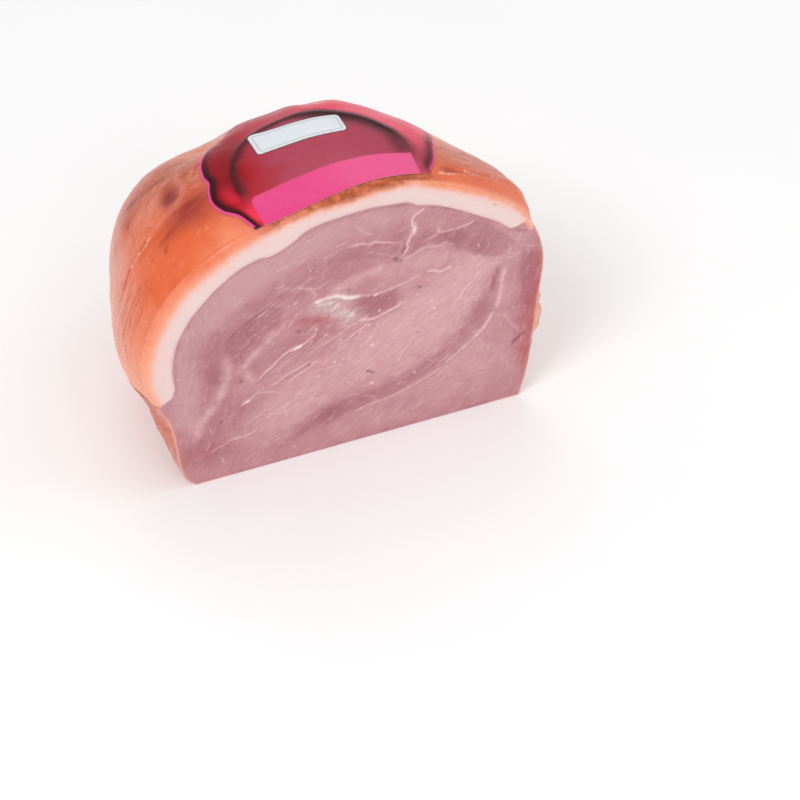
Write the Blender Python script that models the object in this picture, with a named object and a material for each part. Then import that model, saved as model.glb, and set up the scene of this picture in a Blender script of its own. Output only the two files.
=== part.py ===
"""Half of a boneless glazed ham, cut across: the lean meat, the fat cap with its rind, and a label on top.

The block is worked out with X along the foot of the cut face, Y back from it and Z up, in millimetres.
A place on its outside is (s, u): s in millimetres along the cut face's outline from its left foot, and
u from 0 at the cut face to 1 at the back. At the end everything moves so that the origin is under the
middle of the block.
"""

import math

import bmesh
import bpy
import numpy as np

MM = 0.001

# Outline of the cut face, (x, z) from the left foot over the top to the right foot
CUT_OUTLINE = [(-86, 0), (-92, 8), (-93.5, 24), (-95.5, 44), (-103, 64), (-103.5, 90), (-91, 118),
               (-64, 142), (-28, 152.5), (8, 158), (38, 151.5), (64, 137.7), (84, 120), (94.5, 94),
               (93, 60), (90, 20), (86, 0)]

# How the block rounds off behind the cut face
LENGTH = 140.0
LEFT_FALL = (2.41, 2.27)
RIGHT_FALL = (1.40, 1.79)
HEIGHT_FALL = (3.15, 2.12)
BACK_SHIFT = -2.0
LEFT_SWELL = 0.078
RIGHT_SWELL = -0.021
TOP_SWELL = 0.037
SIDE_TURN = 50.0
SWELL_HEIGHTS = (20.0, 75.0)

# Shallow lumps and dents in the outside: x, y, z, radius, height
LUMPS = [(84, 28, 120, 28, 5.7), (5, 100, 112, 45, 1.9), (-70, 85, 105, 40, 6.2),
         (-100, 55, 85, 34, -4.4), (-108, 28, 62, 26, 4.4)]
LUMP_FADE = 15.0
LUMP_AXIS_HEIGHT = 60.0

# The fat cap: where it ends on the left and right of the cut and above the floor at the back
CAP_LEFT_HEIGHT = 59.0
CAP_RIGHT_HEIGHT = 110.0
CAP_BACK_HEIGHT = 34.0
CAP_LEFT_THICKNESS = 13.5
CAP_RIGHT_THICKNESS = 11.5
CAP_EDGE_ROUND = 4.0
EDGE_STEPS = np.array([0.0, 0.12, 0.45])

# The label's left and right edges from front to back: distance from the top of the outline, and y
LABEL_LEFT = [(-55, 3), (-59, 13), (-65, 26), (-63, 42), (-60.5, 57), (-51, 70), (-33, 79)]
LABEL_RIGHT = [(33, 7), (40, 16), (48, 29), (58, 44), (56, 54), (45, 63), (20, 74)]
LABEL_BACK_BOW = 6.0
LABEL_THICKNESS = 0.6

# Clearance under the label and under the fat cap, and how far the bed's cutter stands out of the block
GAP = 0.3
BED_GAP = 0.35
BED_LIFT = 6.0

# Mesh fineness
BLOCK_ROWS = 56
BLOCK_COLUMNS = 24
CAP_ROWS = 34
CAP_COLUMNS = 16
LABEL_ROWS = 12
LABEL_COLUMNS = 18
HALVINGS = 40


def ease(value, start, end):
    """0 below start, 1 above end, smooth between them."""
    share = np.clip((value - start) / (end - start), 0.0, 1.0)
    return share * share * (3.0 - 2.0 * share)


def smooth_line(points, steps=24):
    """A Catmull-Rom curve through the points, and the distance along it at each of its own points."""
    p = np.array(points, float)
    p = np.vstack([2 * p[0] - p[1], p, 2 * p[-1] - p[-2]])
    u = np.linspace(0, 1, steps, endpoint=False)[:, None]
    runs = []
    for a, b, c, d in zip(p, p[1:], p[2:], p[3:]):
        square = (2 * a - 5 * b + 4 * c - d) * u**2
        cube = (3 * b - a - 3 * c + d) * u**3
        runs.append(0.5 * (2 * b + (c - a) * u + square + cube))
    line = np.vstack([*runs, p[-2:-1]])
    along = np.r_[0, np.cumsum(np.linalg.norm(np.diff(line, axis=0), axis=1))]
    return along, line


ALONG, LINE = smooth_line(CUT_OUTLINE)
OUTLINE_LENGTH = ALONG[-1]
TOP = ALONG[np.argmax(LINE[:, 1])]


def outline_at_height(height, left):
    """Distance along the outline where its left or right side has this height."""
    side = ALONG < TOP if left else ALONG > TOP
    order = np.argsort(LINE[side, 1])
    return float(np.interp(height, LINE[side, 1][order], ALONG[side][order]))


def surface(s, u):
    """Point on the outside of the block."""
    x0 = np.interp(s, ALONG, LINE[:, 0])
    z0 = np.interp(s, ALONG, LINE[:, 1])
    t = np.clip(np.sin(np.abs(u) * math.pi / 2), 0.0, 1.0)
    right = 0.5 + 0.5 * np.tanh(x0 / SIDE_TURN)
    power = LEFT_FALL[0] * (1 - right) + RIGHT_FALL[0] * right
    root = LEFT_FALL[1] * (1 - right) + RIGHT_FALL[1] * right
    wide = np.maximum(1 - t**power, 0) ** (1 / root)
    high = np.maximum(1 - t**HEIGHT_FALL[0], 0) ** (1 / HEIGHT_FALL[1])
    middle = 4 * t * (1 - t)
    swell = (LEFT_SWELL * (1 - right) + RIGHT_SWELL * right) * ease(z0, *SWELL_HEIGHTS)
    x = x0 * wide * (1 + swell * middle) + BACK_SHIFT * t
    z = z0 * high * (1 + TOP_SWELL * middle)
    point = np.stack([x, LENGTH * t * np.ones_like(x), z], -1)
    outward = point - np.array([0, 0, LUMP_AXIS_HEIGHT])
    outward[..., 1] = 0
    outward /= np.linalg.norm(outward, axis=-1, keepdims=True) + 1e-9
    push = np.zeros_like(x)
    for lump_x, lump_y, lump_z, radius, height in LUMPS:
        away = ((point - np.array([lump_x, lump_y, lump_z])) ** 2).sum(-1)
        push = push + height * np.exp(-away / radius**2)
    push = push * np.clip(point[..., 1] / LUMP_FADE, 0, 1)
    point = point + outward * push[..., None]
    point[..., 2] = np.maximum(point[..., 2], 0)
    return point


def normal(s, u):
    """Outward direction of the outside. At the cut face it lies in the plane of the cut."""
    step_s, step_u = 0.5, 0.001
    behind = np.maximum(u, 2 * step_u)
    across = surface(s + step_s, behind) - surface(s - step_s, behind)
    back = surface(s, behind + step_u) - surface(s, behind - step_u)
    n = np.cross(across, back)
    n[..., 1] *= ease(LENGTH * np.sin(behind * math.pi / 2), 0.0, LUMP_FADE)
    return n / (np.linalg.norm(n, axis=-1, keepdims=True) + 1e-12)


def inside(s, u, depth):
    """Point at a depth under the outside, or above it where the depth is negative."""
    return surface(s, u) - normal(s, u) * np.asarray(depth)[..., None]


def add_material(obj, colour, roughness):
    material = bpy.data.materials.new(obj.name)
    material.use_nodes = True
    shader = material.node_tree.nodes["Principled BSDF"]
    shader.inputs["Base Color"].default_value = (*colour, 1.0)
    shader.inputs["Roughness"].default_value = roughness
    shader.inputs["Metallic"].default_value = 0.0
    obj.data.materials.append(material)


def mesh_object(name, points, faces):
    """A mesh object from points in millimetres, with its doubled points joined."""
    mesh = bpy.data.meshes.new(name)
    mesh.from_pydata((np.asarray(points) * MM).tolist(), [], faces)
    shape = bmesh.new()
    shape.from_mesh(mesh)
    bmesh.ops.remove_doubles(shape, verts=shape.verts, dist=1e-7)
    bmesh.ops.recalc_face_normals(shape, faces=shape.faces)
    quads = [face for face in shape.faces if len(face.verts) == 4]
    bmesh.ops.triangulate(shape, faces=quads, quad_method="FIXED")
    shape.to_mesh(mesh)
    shape.free()
    mesh.shade_smooth()
    mesh.set_sharp_from_angle(angle=math.radians(40))
    obj = bpy.data.objects.new(name, mesh)
    bpy.context.scene.collection.objects.link(obj)
    return obj


def grid_faces(rows, columns, start=0, turned=False):
    """Quads of a grid of points, rows by columns, numbered from start."""
    faces = []
    for i in range(rows - 1):
        for j in range(columns - 1):
            a = start + i * columns + j
            quad = (a, a + 1, a + columns + 1, a + columns)
            faces.append(quad[::-1] if turned else quad)
    return faces


def shell(name, outer, inner):
    """A closed shell between two grids of points of the same size."""
    rows, columns = outer.shape[:2]
    second = rows * columns
    faces = grid_faces(rows, columns) + grid_faces(rows, columns, second, turned=True)
    rim = list(range(columns))
    rim += [i * columns + columns - 1 for i in range(1, rows)]
    rim += [(rows - 1) * columns + j for j in range(columns - 2, -1, -1)]
    rim += [i * columns for i in range(rows - 2, 0, -1)]
    for a, b in zip(rim, rim[1:] + rim[:1]):
        faces.append((a, second + a, second + b, b))
    points = np.vstack([outer.reshape(-1, 3), inner.reshape(-1, 3)])
    return mesh_object(name, points, faces)


def make_block(name):
    """The whole block, cap and lean in one, with a flat foot and a flat cut face."""
    s = np.linspace(0, OUTLINE_LENGTH, BLOCK_ROWS)[:, None] * np.ones(BLOCK_COLUMNS)
    u = np.ones(BLOCK_ROWS)[:, None] * np.linspace(0, 1, BLOCK_COLUMNS)
    points = surface(s, u)
    points[:, -1] = points[:, -1].mean(axis=0)
    faces = grid_faces(BLOCK_ROWS, BLOCK_COLUMNS)
    last = (BLOCK_ROWS - 1) * BLOCK_COLUMNS
    for j in range(BLOCK_COLUMNS - 1):
        faces.append((j, last + j, last + j + 1, j + 1))
    faces.append([i * BLOCK_COLUMNS for i in range(BLOCK_ROWS)])
    return mesh_object(name, points.reshape(-1, 3), faces)


def back_end(s):
    """u where the fat cap ends at the back, for each s, found by halving."""
    low, high = np.full(len(s), 0.5), np.full(len(s), 1.0)
    for _ in range(HALVINGS):
        middle = (low + high) / 2
        above = surface(s, middle)[..., 2] > CAP_BACK_HEIGHT
        low, high = np.where(above, middle, low), np.where(above, high, middle)
    return low


def spaced(start, end, count, edge):
    """Places from start to end, evenly spread but for two near each end that carry its rounding."""
    near = EDGE_STEPS * edge
    return np.r_[start + near, np.linspace(start + edge, end - edge, count), end - near[::-1]]


def cap_places(grow=0.0):
    """Places (s, u) of the fat cap's grid, with the depth of its outer and inner face at each."""
    left = outline_at_height(CAP_LEFT_HEIGHT, left=True) - grow
    right = outline_at_height(CAP_RIGHT_HEIGHT, left=False) + grow
    rows = spaced(left, right, CAP_ROWS, CAP_EDGE_ROUND)
    ends = back_end(rows) + grow / LENGTH
    back_round = CAP_EDGE_ROUND / LENGTH
    near = back_round * EDGE_STEPS[::-1]
    u = np.array([np.r_[np.linspace(0, end - back_round, CAP_COLUMNS), end - near] for end in ends])
    s = rows[:, None] * np.ones(u.shape[1])
    from_edge = np.minimum(np.minimum(s - left, right - s), (ends[:, None] - u) * LENGTH)
    share = np.clip(1 - from_edge / CAP_EDGE_ROUND, 0, 1)
    sink = CAP_EDGE_ROUND * (1 - np.sqrt(1 - share**2))
    thickness = np.interp(s, [left, right], [CAP_LEFT_THICKNESS, CAP_RIGHT_THICKNESS])
    return s, u, sink, thickness - sink


def make_fat_cap():
    s, u, outer_depth, inner_depth = cap_places()
    cap = shell("fat_cap", inside(s, u, outer_depth), inside(s, u, inner_depth))
    add_material(cap, (0.80, 0.42, 0.24), 0.35)
    return cap


def make_cap_bed():
    """What the fat cap takes out of the block: its inner face and edges a gap further out, open above."""
    s, u, _, inner_depth = cap_places(BED_GAP)
    inner = inside(s, u, inner_depth)
    facing = np.cross(np.gradient(inner, axis=1), np.gradient(inner, axis=0))
    facing /= np.linalg.norm(facing, axis=-1, keepdims=True)
    inner = inner + BED_GAP * facing
    outer = inner + normal(s, u) * (inner_depth + BED_LIFT)[..., None]
    ahead = np.array([0.0, -BED_LIFT, 0.0])
    outer = np.concatenate([outer[:, :1] + ahead, outer], axis=1)
    inner = np.concatenate([inner[:, :1] + ahead, inner], axis=1)
    bed = shell("cap_bed", outer, inner)
    bed.hide_render = True
    bed.display_type = "WIRE"
    return bed


def make_lean(bed):
    """The block less the bed of the fat cap."""
    lean = make_block("lean")
    add_material(lean, (0.60, 0.34, 0.36), 0.4)
    cut = lean.modifiers.new("cap_bed", "BOOLEAN")
    cut.operation = "DIFFERENCE"
    cut.solver = "EXACT"
    cut.object = bed
    return lean


def make_label():
    """A thin skin on the rind, a little behind the cut."""
    share = np.linspace(0, 1, LABEL_ROWS)
    edges = []
    for points in (LABEL_LEFT, LABEL_RIGHT):
        along, line = smooth_line(points)
        edges.append(np.stack([np.interp(share * along[-1], along, line[:, k]) for k in range(2)], -1))
    across = np.linspace(0, 1, LABEL_COLUMNS)[None, :, None]
    place = edges[0][:, None] * (1 - across) + edges[1][:, None] * across
    bow = LABEL_BACK_BOW * 4 * across[..., 0] * (1 - across[..., 0])
    place[..., 1] += bow * share[:, None] ** 2
    s = TOP + place[..., 0]
    u = np.arcsin(place[..., 1] / LENGTH) * 2 / math.pi
    outer = inside(s, u, np.full(s.shape, -GAP - LABEL_THICKNESS))
    inner = inside(s, u, np.full(s.shape, -GAP))
    label = shell("label", outer, inner)
    add_material(label, (0.55, 0.03, 0.12), 0.3)
    return label


def main():
    for obj in list(bpy.data.objects):
        bpy.data.objects.remove(obj, do_unlink=True)
    bed = make_cap_bed()
    parts = [make_lean(bed), bed, make_fat_cap(), make_label()]
    corners = np.array([v.co for part in parts if part is not bed for v in part.data.vertices])
    low, high = corners.min(axis=0), corners.max(axis=0)
    for part in parts:
        part.location = (-(low[0] + high[0]) / 2, -(low[1] + high[1]) / 2, 0.0)


main()
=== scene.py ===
"""Looks of half a boneless glazed ham: the cut face, the fat cap with its glazed rind, and the film label.

The CAD model gives the frame. Each piece is worked out in millimetres, with X along the foot of the cut
face, Y back from the cut and Z up, and is then moved to the CAD's origin. A place on the outside is (s, u):
s along the cut face's outline from its left foot, u from 0 at the cut to 1 at the back. Places on the rind
and the label are (distance from the top of the outline, y), and places on the cut face (x, z).
"""

import itertools
import math

import bmesh
import bpy
import numpy as np
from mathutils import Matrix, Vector


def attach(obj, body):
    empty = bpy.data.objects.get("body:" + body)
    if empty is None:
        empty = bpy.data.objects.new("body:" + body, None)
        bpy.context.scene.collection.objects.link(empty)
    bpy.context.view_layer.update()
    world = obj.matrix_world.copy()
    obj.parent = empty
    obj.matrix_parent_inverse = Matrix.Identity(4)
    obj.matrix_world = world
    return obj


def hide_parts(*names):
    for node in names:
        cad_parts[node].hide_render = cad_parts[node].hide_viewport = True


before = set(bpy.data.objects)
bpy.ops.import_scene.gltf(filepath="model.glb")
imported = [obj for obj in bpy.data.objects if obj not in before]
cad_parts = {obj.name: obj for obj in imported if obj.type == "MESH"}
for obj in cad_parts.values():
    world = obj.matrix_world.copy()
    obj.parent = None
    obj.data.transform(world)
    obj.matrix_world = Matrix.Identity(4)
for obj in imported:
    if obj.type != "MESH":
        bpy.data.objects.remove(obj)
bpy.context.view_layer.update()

MM = 0.001

# Shape of the block, as in the CAD
CUT_OUTLINE = [
    (-86, 0), (-92, 8), (-93.5, 24), (-95.5, 44), (-103, 64), (-103.5, 90), (-91, 118), (-64, 142),
    (-28, 152.5), (8, 158), (38, 151.5), (64, 137.7), (84, 120), (94.5, 94), (93, 60), (90, 20), (86, 0)
]
LENGTH = 140.0
LEFT_FALL = (2.41, 2.27)
RIGHT_FALL = (1.40, 1.79)
HEIGHT_FALL = (3.15, 2.12)
BACK_SHIFT = -2.0
LEFT_SWELL = 0.078
RIGHT_SWELL = -0.021
TOP_SWELL = 0.037
SIDE_TURN = 50.0
SWELL_HEIGHTS = (20.0, 75.0)
# Each lump is x, y, z, radius, height
LUMPS = [
    (84, 28, 120, 28, 5.7), (5, 100, 112, 45, 1.9), (-70, 85, 105, 40, 6.2), (-100, 55, 85, 34, -4.4),
    (-108, 28, 62, 26, 4.4)
]
LUMP_FADE = 15.0
LUMP_AXIS_HEIGHT = 60.0

# The fat cap
CAP_LEFT_HEIGHT = 57.5
CAP_RIGHT_HEIGHT = 110.0
CAP_BACK_HEIGHT = 34.0
CAP_GAP = 0.05
CAP_LEAST = 0.15
CAP_END_ROUND = 1.6
CUT_ROUND_LEFT = 3.0
CUT_ROUND_RIGHT = 1.5
HALVINGS = 40
# Distance from the top of the outline, thickness of fat and rind, depth where rind has half turned to fat
CAP_PROFILE = [
    (-175, 11.5, 3.6), (-158, 12.5, 2.3), (-146, 13.2, 3.4), (-131, 13.5, 4.2), (-115, 14.1, 4.9),
    (-100, 14.5, 4.6), (-80, 14.5, 6.1), (-61, 14.4, 5.2), (-53, 15.9, 4.2), (-47.5, 15.6, 3.9),
    (-40, 13.5, 2.9), (-35, 11.3, 2.7), (-27, 10.1, 3.3), (-11, 11.1, 5.2), (7, 11.6, 3.8), (21, 10.9, 1.9),
    (28, 12.1, 2.4), (41, 11.7, 3.2), (62, 11.9, 2.4), (80, 11.0, 1.5), (88, 10.3, 1.4), (94, 9.8, 1.4),
    (103, 9.5, 1.4)
]

# The label
LABEL_LEFT = [
    (-54.3, 1.8), (-56.2, 7.5), (-58.4, 12.8), (-63, 18.5), (-65.4, 26), (-64.6, 33), (-63, 39), (-63.8, 45),
    (-62, 57), (-55, 73), (-40, 86)
]
LABEL_RIGHT = [(33, 7), (40, 16), (48, 29), (58, 44), (56, 54), (45, 64), (22, 77)]
LABEL_BACK_BOW = 6.0
LABEL_FRONT_BOW = 1.2
LABEL_GAP = 0.25
LABEL_THICKNESS = 0.5

# Mesh fineness
FACE_COLUMNS = 316
FACE_ROWS = 240
FACE_STEP = 0.66
FACE_CORNERS = (122.0, 126.0)
SMOOTHINGS = 250
SIDE_COLUMNS = 88
CAP_ROWS = 350
CAP_FRONT = 14
CAP_ROUND_STEPS = 5
CAP_OUTER = 176
CAP_INNER = 9
LABEL_ROWS = 209
LABEL_COLUMNS = 297
LABEL_UNDER_STEP = 4
SHARP_ANGLE = 70
BOX_SAMPLES = (600, 200)
CUT_SAMPLES = 3000
CAP_SAMPLES = 4000
LABEL_END_SAMPLES = 30
RIM_STEP = 2
HIDDEN_RIM_STEP = 8
HIDDEN_RIM_MARGIN = 6

# Noise and drawn lines
HASH_PRIMES = (73856093, 19349663, 83492791)
HASH_SEED = 374761393
HASH_TURN = 1274126177
HASH_BITS = 0x3FFFFFFF
SLOPE_BITS = 1023
NOISE_OFFSET = 17.31
NOISE_SCALE = 1.4
LINE_TAPER = 0.15
LINE_REACH = 2.5
FAR = 1e9
MERGE_DISTANCE = 1e-7

# The photograph's view
CAMERA_TARGET = (35.7, -51.8, 0.0)
CAMERA_DISTANCE = 1020.0
CAMERA_AZIMUTH = -21.36
CAMERA_ELEVATION = 45.0
CAMERA_LENS = 90.0
CAMERA_SENSOR = 36.0
CAMERA_CLIP = (0.05, 30.0)


def unit(value):
    return np.clip(value, 0.0, 1.0)


def ease(value, start, end):
    """0 below start, 1 above end, smooth between them."""
    share = unit((value - start) / (end - start))
    return share * share * (3.0 - 2.0 * share)


def bell(value, width):
    return np.exp(-((value / width) ** 2))


def between(first, second, share):
    return first * (1 - share) + second * share


def smooth_line(points, steps=24):
    """A Catmull-Rom curve through the points, and the distance along it at each of its own points."""
    p = np.array(points, float)
    p = np.vstack([2 * p[0] - p[1], p, 2 * p[-1] - p[-2]])
    u = np.linspace(0, 1, steps, endpoint=False)[:, None]
    runs = []
    for a, b, c, d in zip(p, p[1:], p[2:], p[3:]):
        square = (2 * a - 5 * b + 4 * c - d) * u**2
        cube = (3 * b - a - 3 * c + d) * u**3
        runs.append(0.5 * (2 * b + (c - a) * u + square + cube))
    line = np.vstack([*runs, p[-2:-1]])
    return run_along(line), line


def run_along(line):
    """Distance along a line at each of its points."""
    return np.r_[0, np.cumsum(np.linalg.norm(np.diff(line, axis=0), axis=1))]


ALONG, LINE = smooth_line(CUT_OUTLINE)
OUTLINE_LENGTH = ALONG[-1]
TOP = ALONG[np.argmax(LINE[:, 1])]
PROFILE = smooth_line(CAP_PROFILE, 6)[1]


def outline_at_height(height, left):
    """Distance along the outline where its left or right side has this height."""
    side = ALONG < TOP if left else ALONG > TOP
    order = np.argsort(LINE[side, 1])
    return float(np.interp(height, LINE[side, 1][order], ALONG[side][order]))


def surface(s, u):
    """Point on the outside of the block."""
    x0 = np.interp(s, ALONG, LINE[:, 0])
    z0 = np.interp(s, ALONG, LINE[:, 1])
    t = unit(np.sin(np.abs(u) * math.pi / 2))
    right = 0.5 + 0.5 * np.tanh(x0 / SIDE_TURN)
    power, root = (between(a, b, right) for a, b in zip(LEFT_FALL, RIGHT_FALL))
    wide = np.maximum(1 - t**power, 0) ** (1 / root)
    high = np.maximum(1 - t ** HEIGHT_FALL[0], 0) ** (1 / HEIGHT_FALL[1])
    middle = 4 * t * (1 - t)
    swell = between(LEFT_SWELL, RIGHT_SWELL, right) * ease(z0, *SWELL_HEIGHTS)
    x = x0 * wide * (1 + swell * middle) + BACK_SHIFT * t
    z = z0 * high * (1 + TOP_SWELL * middle)
    point = np.stack([x, LENGTH * t * np.ones_like(x), z], -1)
    outward = point - np.array([0, 0, LUMP_AXIS_HEIGHT])
    outward[..., 1] = 0
    outward /= np.linalg.norm(outward, axis=-1, keepdims=True) + 1e-9
    push = np.zeros_like(x)
    for *centre, radius, height in LUMPS:
        push = push + height * np.exp(-((point - np.array(centre)) ** 2).sum(-1) / radius**2)
    point = point + outward * (push * unit(point[..., 1] / LUMP_FADE))[..., None]
    point[..., 2] = np.maximum(point[..., 2], 0)
    return point


def normal(s, u):
    """Outward direction of the outside. At the cut face it lies in the plane of the cut."""
    step_s, step_u = 0.5, 0.001
    behind = np.clip(u, 2 * step_u, 1 - 2 * step_u)
    across = surface(s + step_s, behind) - surface(s - step_s, behind)
    back = surface(s, behind + step_u) - surface(s, behind - step_u)
    n = np.cross(across, back)
    n[..., 1] *= ease(y_at(behind), 0.0, LUMP_FADE)
    return n / (np.linalg.norm(n, axis=-1, keepdims=True) + 1e-12)


def raised(s, u, height):
    """Points at this height over the outside of the block, or below it where the height is negative."""
    return surface(s, u) + normal(s, u) * height[..., None]


def u_at(y):
    return np.arcsin(unit(y / LENGTH)) * 2 / math.pi


def y_at(u):
    return LENGTH * np.sin(u * math.pi / 2)


def block_shift():
    """How far the CAD moved the block, found from the box of its outside."""
    rows, columns = BOX_SAMPLES
    s = np.linspace(0, OUTLINE_LENGTH, rows)[:, None]
    points = surface(s * np.ones(columns), np.ones(rows)[:, None] * np.linspace(0, 1, columns))
    low_x, high_x = points[..., 0].min(), points[..., 0].max()
    return np.array([-(low_x + high_x) / 2, -LENGTH / 2, 0.0])


BLOCK_SHIFT = block_shift()


# Noise and drawing on a surface

def noise(points, size, seed):
    """Gradient noise, about -1 to 1, with cells of this size."""
    p = np.asarray(points, float) / size + NOISE_OFFSET * seed
    cell = np.floor(p).astype(np.int64)
    f = p - cell
    w = f * f * f * (f * (f * 6 - 15) + 10)
    total = np.zeros(p.shape[:-1])
    for corner in itertools.product((0, 1), repeat=p.shape[-1]):
        c = cell + np.array(corner)
        mix = np.zeros(c.shape[:-1], np.int64) + seed * HASH_SEED
        for axis, prime in zip(range(p.shape[-1]), HASH_PRIMES):
            mix ^= c[..., axis] * prime
        mix = (mix ^ (mix >> 13)) * HASH_TURN & HASH_BITS
        mix = (mix ^ (mix >> 15)) & HASH_BITS
        weight, dot = np.ones(p.shape[:-1]), np.zeros(p.shape[:-1])
        for axis, bit in enumerate(corner):
            weight = weight * (w[..., axis] if bit else 1 - w[..., axis])
            slope = 2 * ((mix >> (10 * axis)) & SLOPE_BITS) / SLOPE_BITS - 1
            dot = dot + slope * (f[..., axis] - bit)
        total = total + weight * dot
    return total * NOISE_SCALE


def layered(points, size, seed, layers=3):
    """Noise of several sizes, each half the size and the weight of the one before."""
    weights = [0.5**k for k in range(layers)]
    return sum(w * noise(points, size * w, seed + k) for k, w in enumerate(weights)) / sum(weights)


def warped(places, size, seed, layers=1):
    """Two noises side by side, to bend places with."""
    return np.stack([layered(places, size, seed + k, layers) for k in (0, 1)], -1)


def stretched(first, second, seed, size=1.0, layers=1):
    """Noise over two numbers of each place."""
    return layered(np.stack([first, second], -1), size, seed, layers)


def colour(red, green, blue, gloss=0.0):
    """A screen colour, 0 to 255, as the linear colour that shaders take, less what its gloss adds."""
    c = np.array([red, green, blue], float) / 255
    c = np.where(c <= 0.04045, c / 12.92, ((c + 0.055) / 1.055) ** 2.4)
    return np.maximum(c - gloss, 0.003)


def painted(tint, *coats):
    """Lays colours over a colour, one after the other, each with its share at each point."""
    for other, share in coats:
        tint = between(tint, other, unit(share)[..., None])
    return tint


def blob(places, x, y, wide, high, turn=0.0):
    """1 at a point and fading out round it, wide and high in millimetres, turned by degrees."""
    c, s = math.cos(math.radians(turn)), math.sin(math.radians(turn))
    dx, dy = places[..., 0] - x, places[..., 1] - y
    along, across = dx * c + dy * s, dy * c - dx * s
    return np.exp(-((along / wide) ** 2) - (across / high) ** 2)


def patched(places, patches, share=0.0):
    """What a share becomes with all the patches of a table over it."""
    for *patch, amount in patches:
        share = 1 - (1 - share) * (1 - amount * blob(places, *patch))
    return share


def line_distance(places, line):
    """Distance of each place from a line of points, how far along it the nearest point is, and its length."""
    lengths = np.linalg.norm(np.diff(line, axis=0), axis=1)
    starts = np.r_[0, np.cumsum(lengths)]
    best, along = np.full(len(places), FAR), np.zeros(len(places))
    for a, b, start, length in zip(line, line[1:], starts, lengths):
        share = unit(((places - a) @ (b - a)) / max(length**2, 1e-9))
        away = np.linalg.norm(places - a - share[:, None] * (b - a), axis=1)
        along = np.where(away < best, start + share * length, along)
        best = np.minimum(away, best)
    return best, along, starts[-1]


def within(places, outline):
    """True inside a closed outline."""
    x, y = places[:, 0], places[:, 1]
    inside = np.zeros(len(places), bool)
    for a, b in zip(outline, np.roll(outline, -1, axis=0)):
        if a[1] != b[1]:
            crossing = (y > a[1]) != (y > b[1])
            inside ^= crossing & (x < (b[0] - a[0]) * (y - a[1]) / (b[1] - a[1]) + a[0])
    return inside


def near_line(places, line, reach):
    """True inside the line's box, with this much round it."""
    return ((places > line.min(axis=0) - reach) & (places < line.max(axis=0) + reach)).all(-1)


def region(places, outline, inner, outer):
    """1 inside a closed outline and 0 outside it, turning between these distances from it."""
    share = np.zeros(len(places))
    near = near_line(places, outline, outer)
    away = line_distance(places[near], outline)[0]
    away = np.where(within(places[near], outline[:-1]), -away, away)
    share[near] = 1 - ease(away, inner, outer)
    return share


def draw(target, places, points, width, strength, uneven=0.45, seed=1):
    """Draws a soft line into target, which keeps the stronger of what it has and the line."""
    line = smooth_line(points, 6)[1]
    near = near_line(places, line, LINE_REACH * width)
    if not near.any():
        return
    away, along, whole = line_distance(places[near], line)
    taper = ease(along / whole, 0, LINE_TAPER) * ease(1 - along / whole, 0, LINE_TAPER)
    vary = 0.5 + stretched(along, np.full_like(along, seed * 3.7), seed, 2.4)
    vary = unit(1 - uneven + uneven * 1.6 * vary)
    target[near] = np.maximum(target[near], strength * bell(away, width) * taper * vary)


def drawn(places, rows, seed, uneven=0.45, wider=1.0, fainter=1.0):
    """All the lines of a table. Each row is width, strength and points."""
    target = np.zeros(len(places))
    for k, (width, strength, points) in enumerate(rows):
        draw(target, places, points, width * wider, strength * fainter, uneven, seed + k)
    return target


def strand(target, places, middle, turn, step, bend, width, strength, uneven=0.45, seed=1):
    """Draws a short line through a point, with its middle moved sideways by bend."""
    c, s = math.cos(turn), math.sin(turn)
    middle, step, side = np.array(middle), step * np.array([c, s]), bend * np.array([-s, c])
    draw(target, places, [middle - step, middle + side, middle + step], width, strength, uneven, seed)


# Mesh helpers

def grid_faces(index, turned=False):
    """Quads of a grid of point numbers."""
    a, b, c, d = index[:-1, :-1], index[:-1, 1:], index[1:, 1:], index[1:, :-1]
    return np.stack([a, b, c, d] if not turned else [d, c, b, a], -1).reshape(-1, 4).tolist()


def around(number):
    """The point numbers round the edge of a grid."""
    return np.r_[number[0], number[1:, -1], number[-1, -2::-1], number[-2::-1, 0]]


def zipped(first, second):
    """Triangles between two rows of point numbers of any lengths."""
    faces, i, j = [], 0, 0
    m, n = len(first) - 1, len(second) - 1
    while i < m or j < n:
        if j == n or (i < m and (i + 1) * n <= (j + 1) * m):
            faces.append((first[i], first[i + 1], second[j]))
            i += 1
        else:
            faces.append((first[i], second[j + 1], second[j]))
            j += 1
    return faces


def add_object(name, data):
    obj = bpy.data.objects.new(name, data)
    bpy.context.scene.collection.objects.link(obj)
    return obj


def make_piece(name, node, points, faces, tints, values, material):
    """A smooth closed mesh that stands for a CAD node, with its colours and values at each point."""
    mesh = bpy.data.meshes.new(name)
    mesh.from_pydata(((points + BLOCK_SHIFT) * MM).tolist(), [], faces)
    tint = mesh.attributes.new("tint", "FLOAT_COLOR", "POINT")
    tint.data.foreach_set("color", np.c_[tints, np.ones(len(tints))].astype(np.float32).ravel())
    for label, numbers in values.items():
        held = mesh.attributes.new(label, "FLOAT", "POINT")
        held.data.foreach_set("value", np.asarray(numbers, np.float32))
    shape = bmesh.new()
    shape.from_mesh(mesh)
    bmesh.ops.remove_doubles(shape, verts=shape.verts, dist=MERGE_DISTANCE)
    bmesh.ops.dissolve_degenerate(shape, edges=shape.edges, dist=MERGE_DISTANCE)
    bmesh.ops.recalc_face_normals(shape, faces=shape.faces)
    shape.to_mesh(mesh)
    shape.free()
    mesh.shade_smooth()
    mesh.set_sharp_from_angle(angle=math.radians(SHARP_ANGLE))
    mesh.materials.append(material)
    obj = add_object(name, mesh)
    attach(obj, "root")
    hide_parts(node)


# The bed between the lean and the fat cap

CAP_LEFT = outline_at_height(CAP_LEFT_HEIGHT, left=True)
CAP_RIGHT = outline_at_height(CAP_RIGHT_HEIGHT, left=False)


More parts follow.
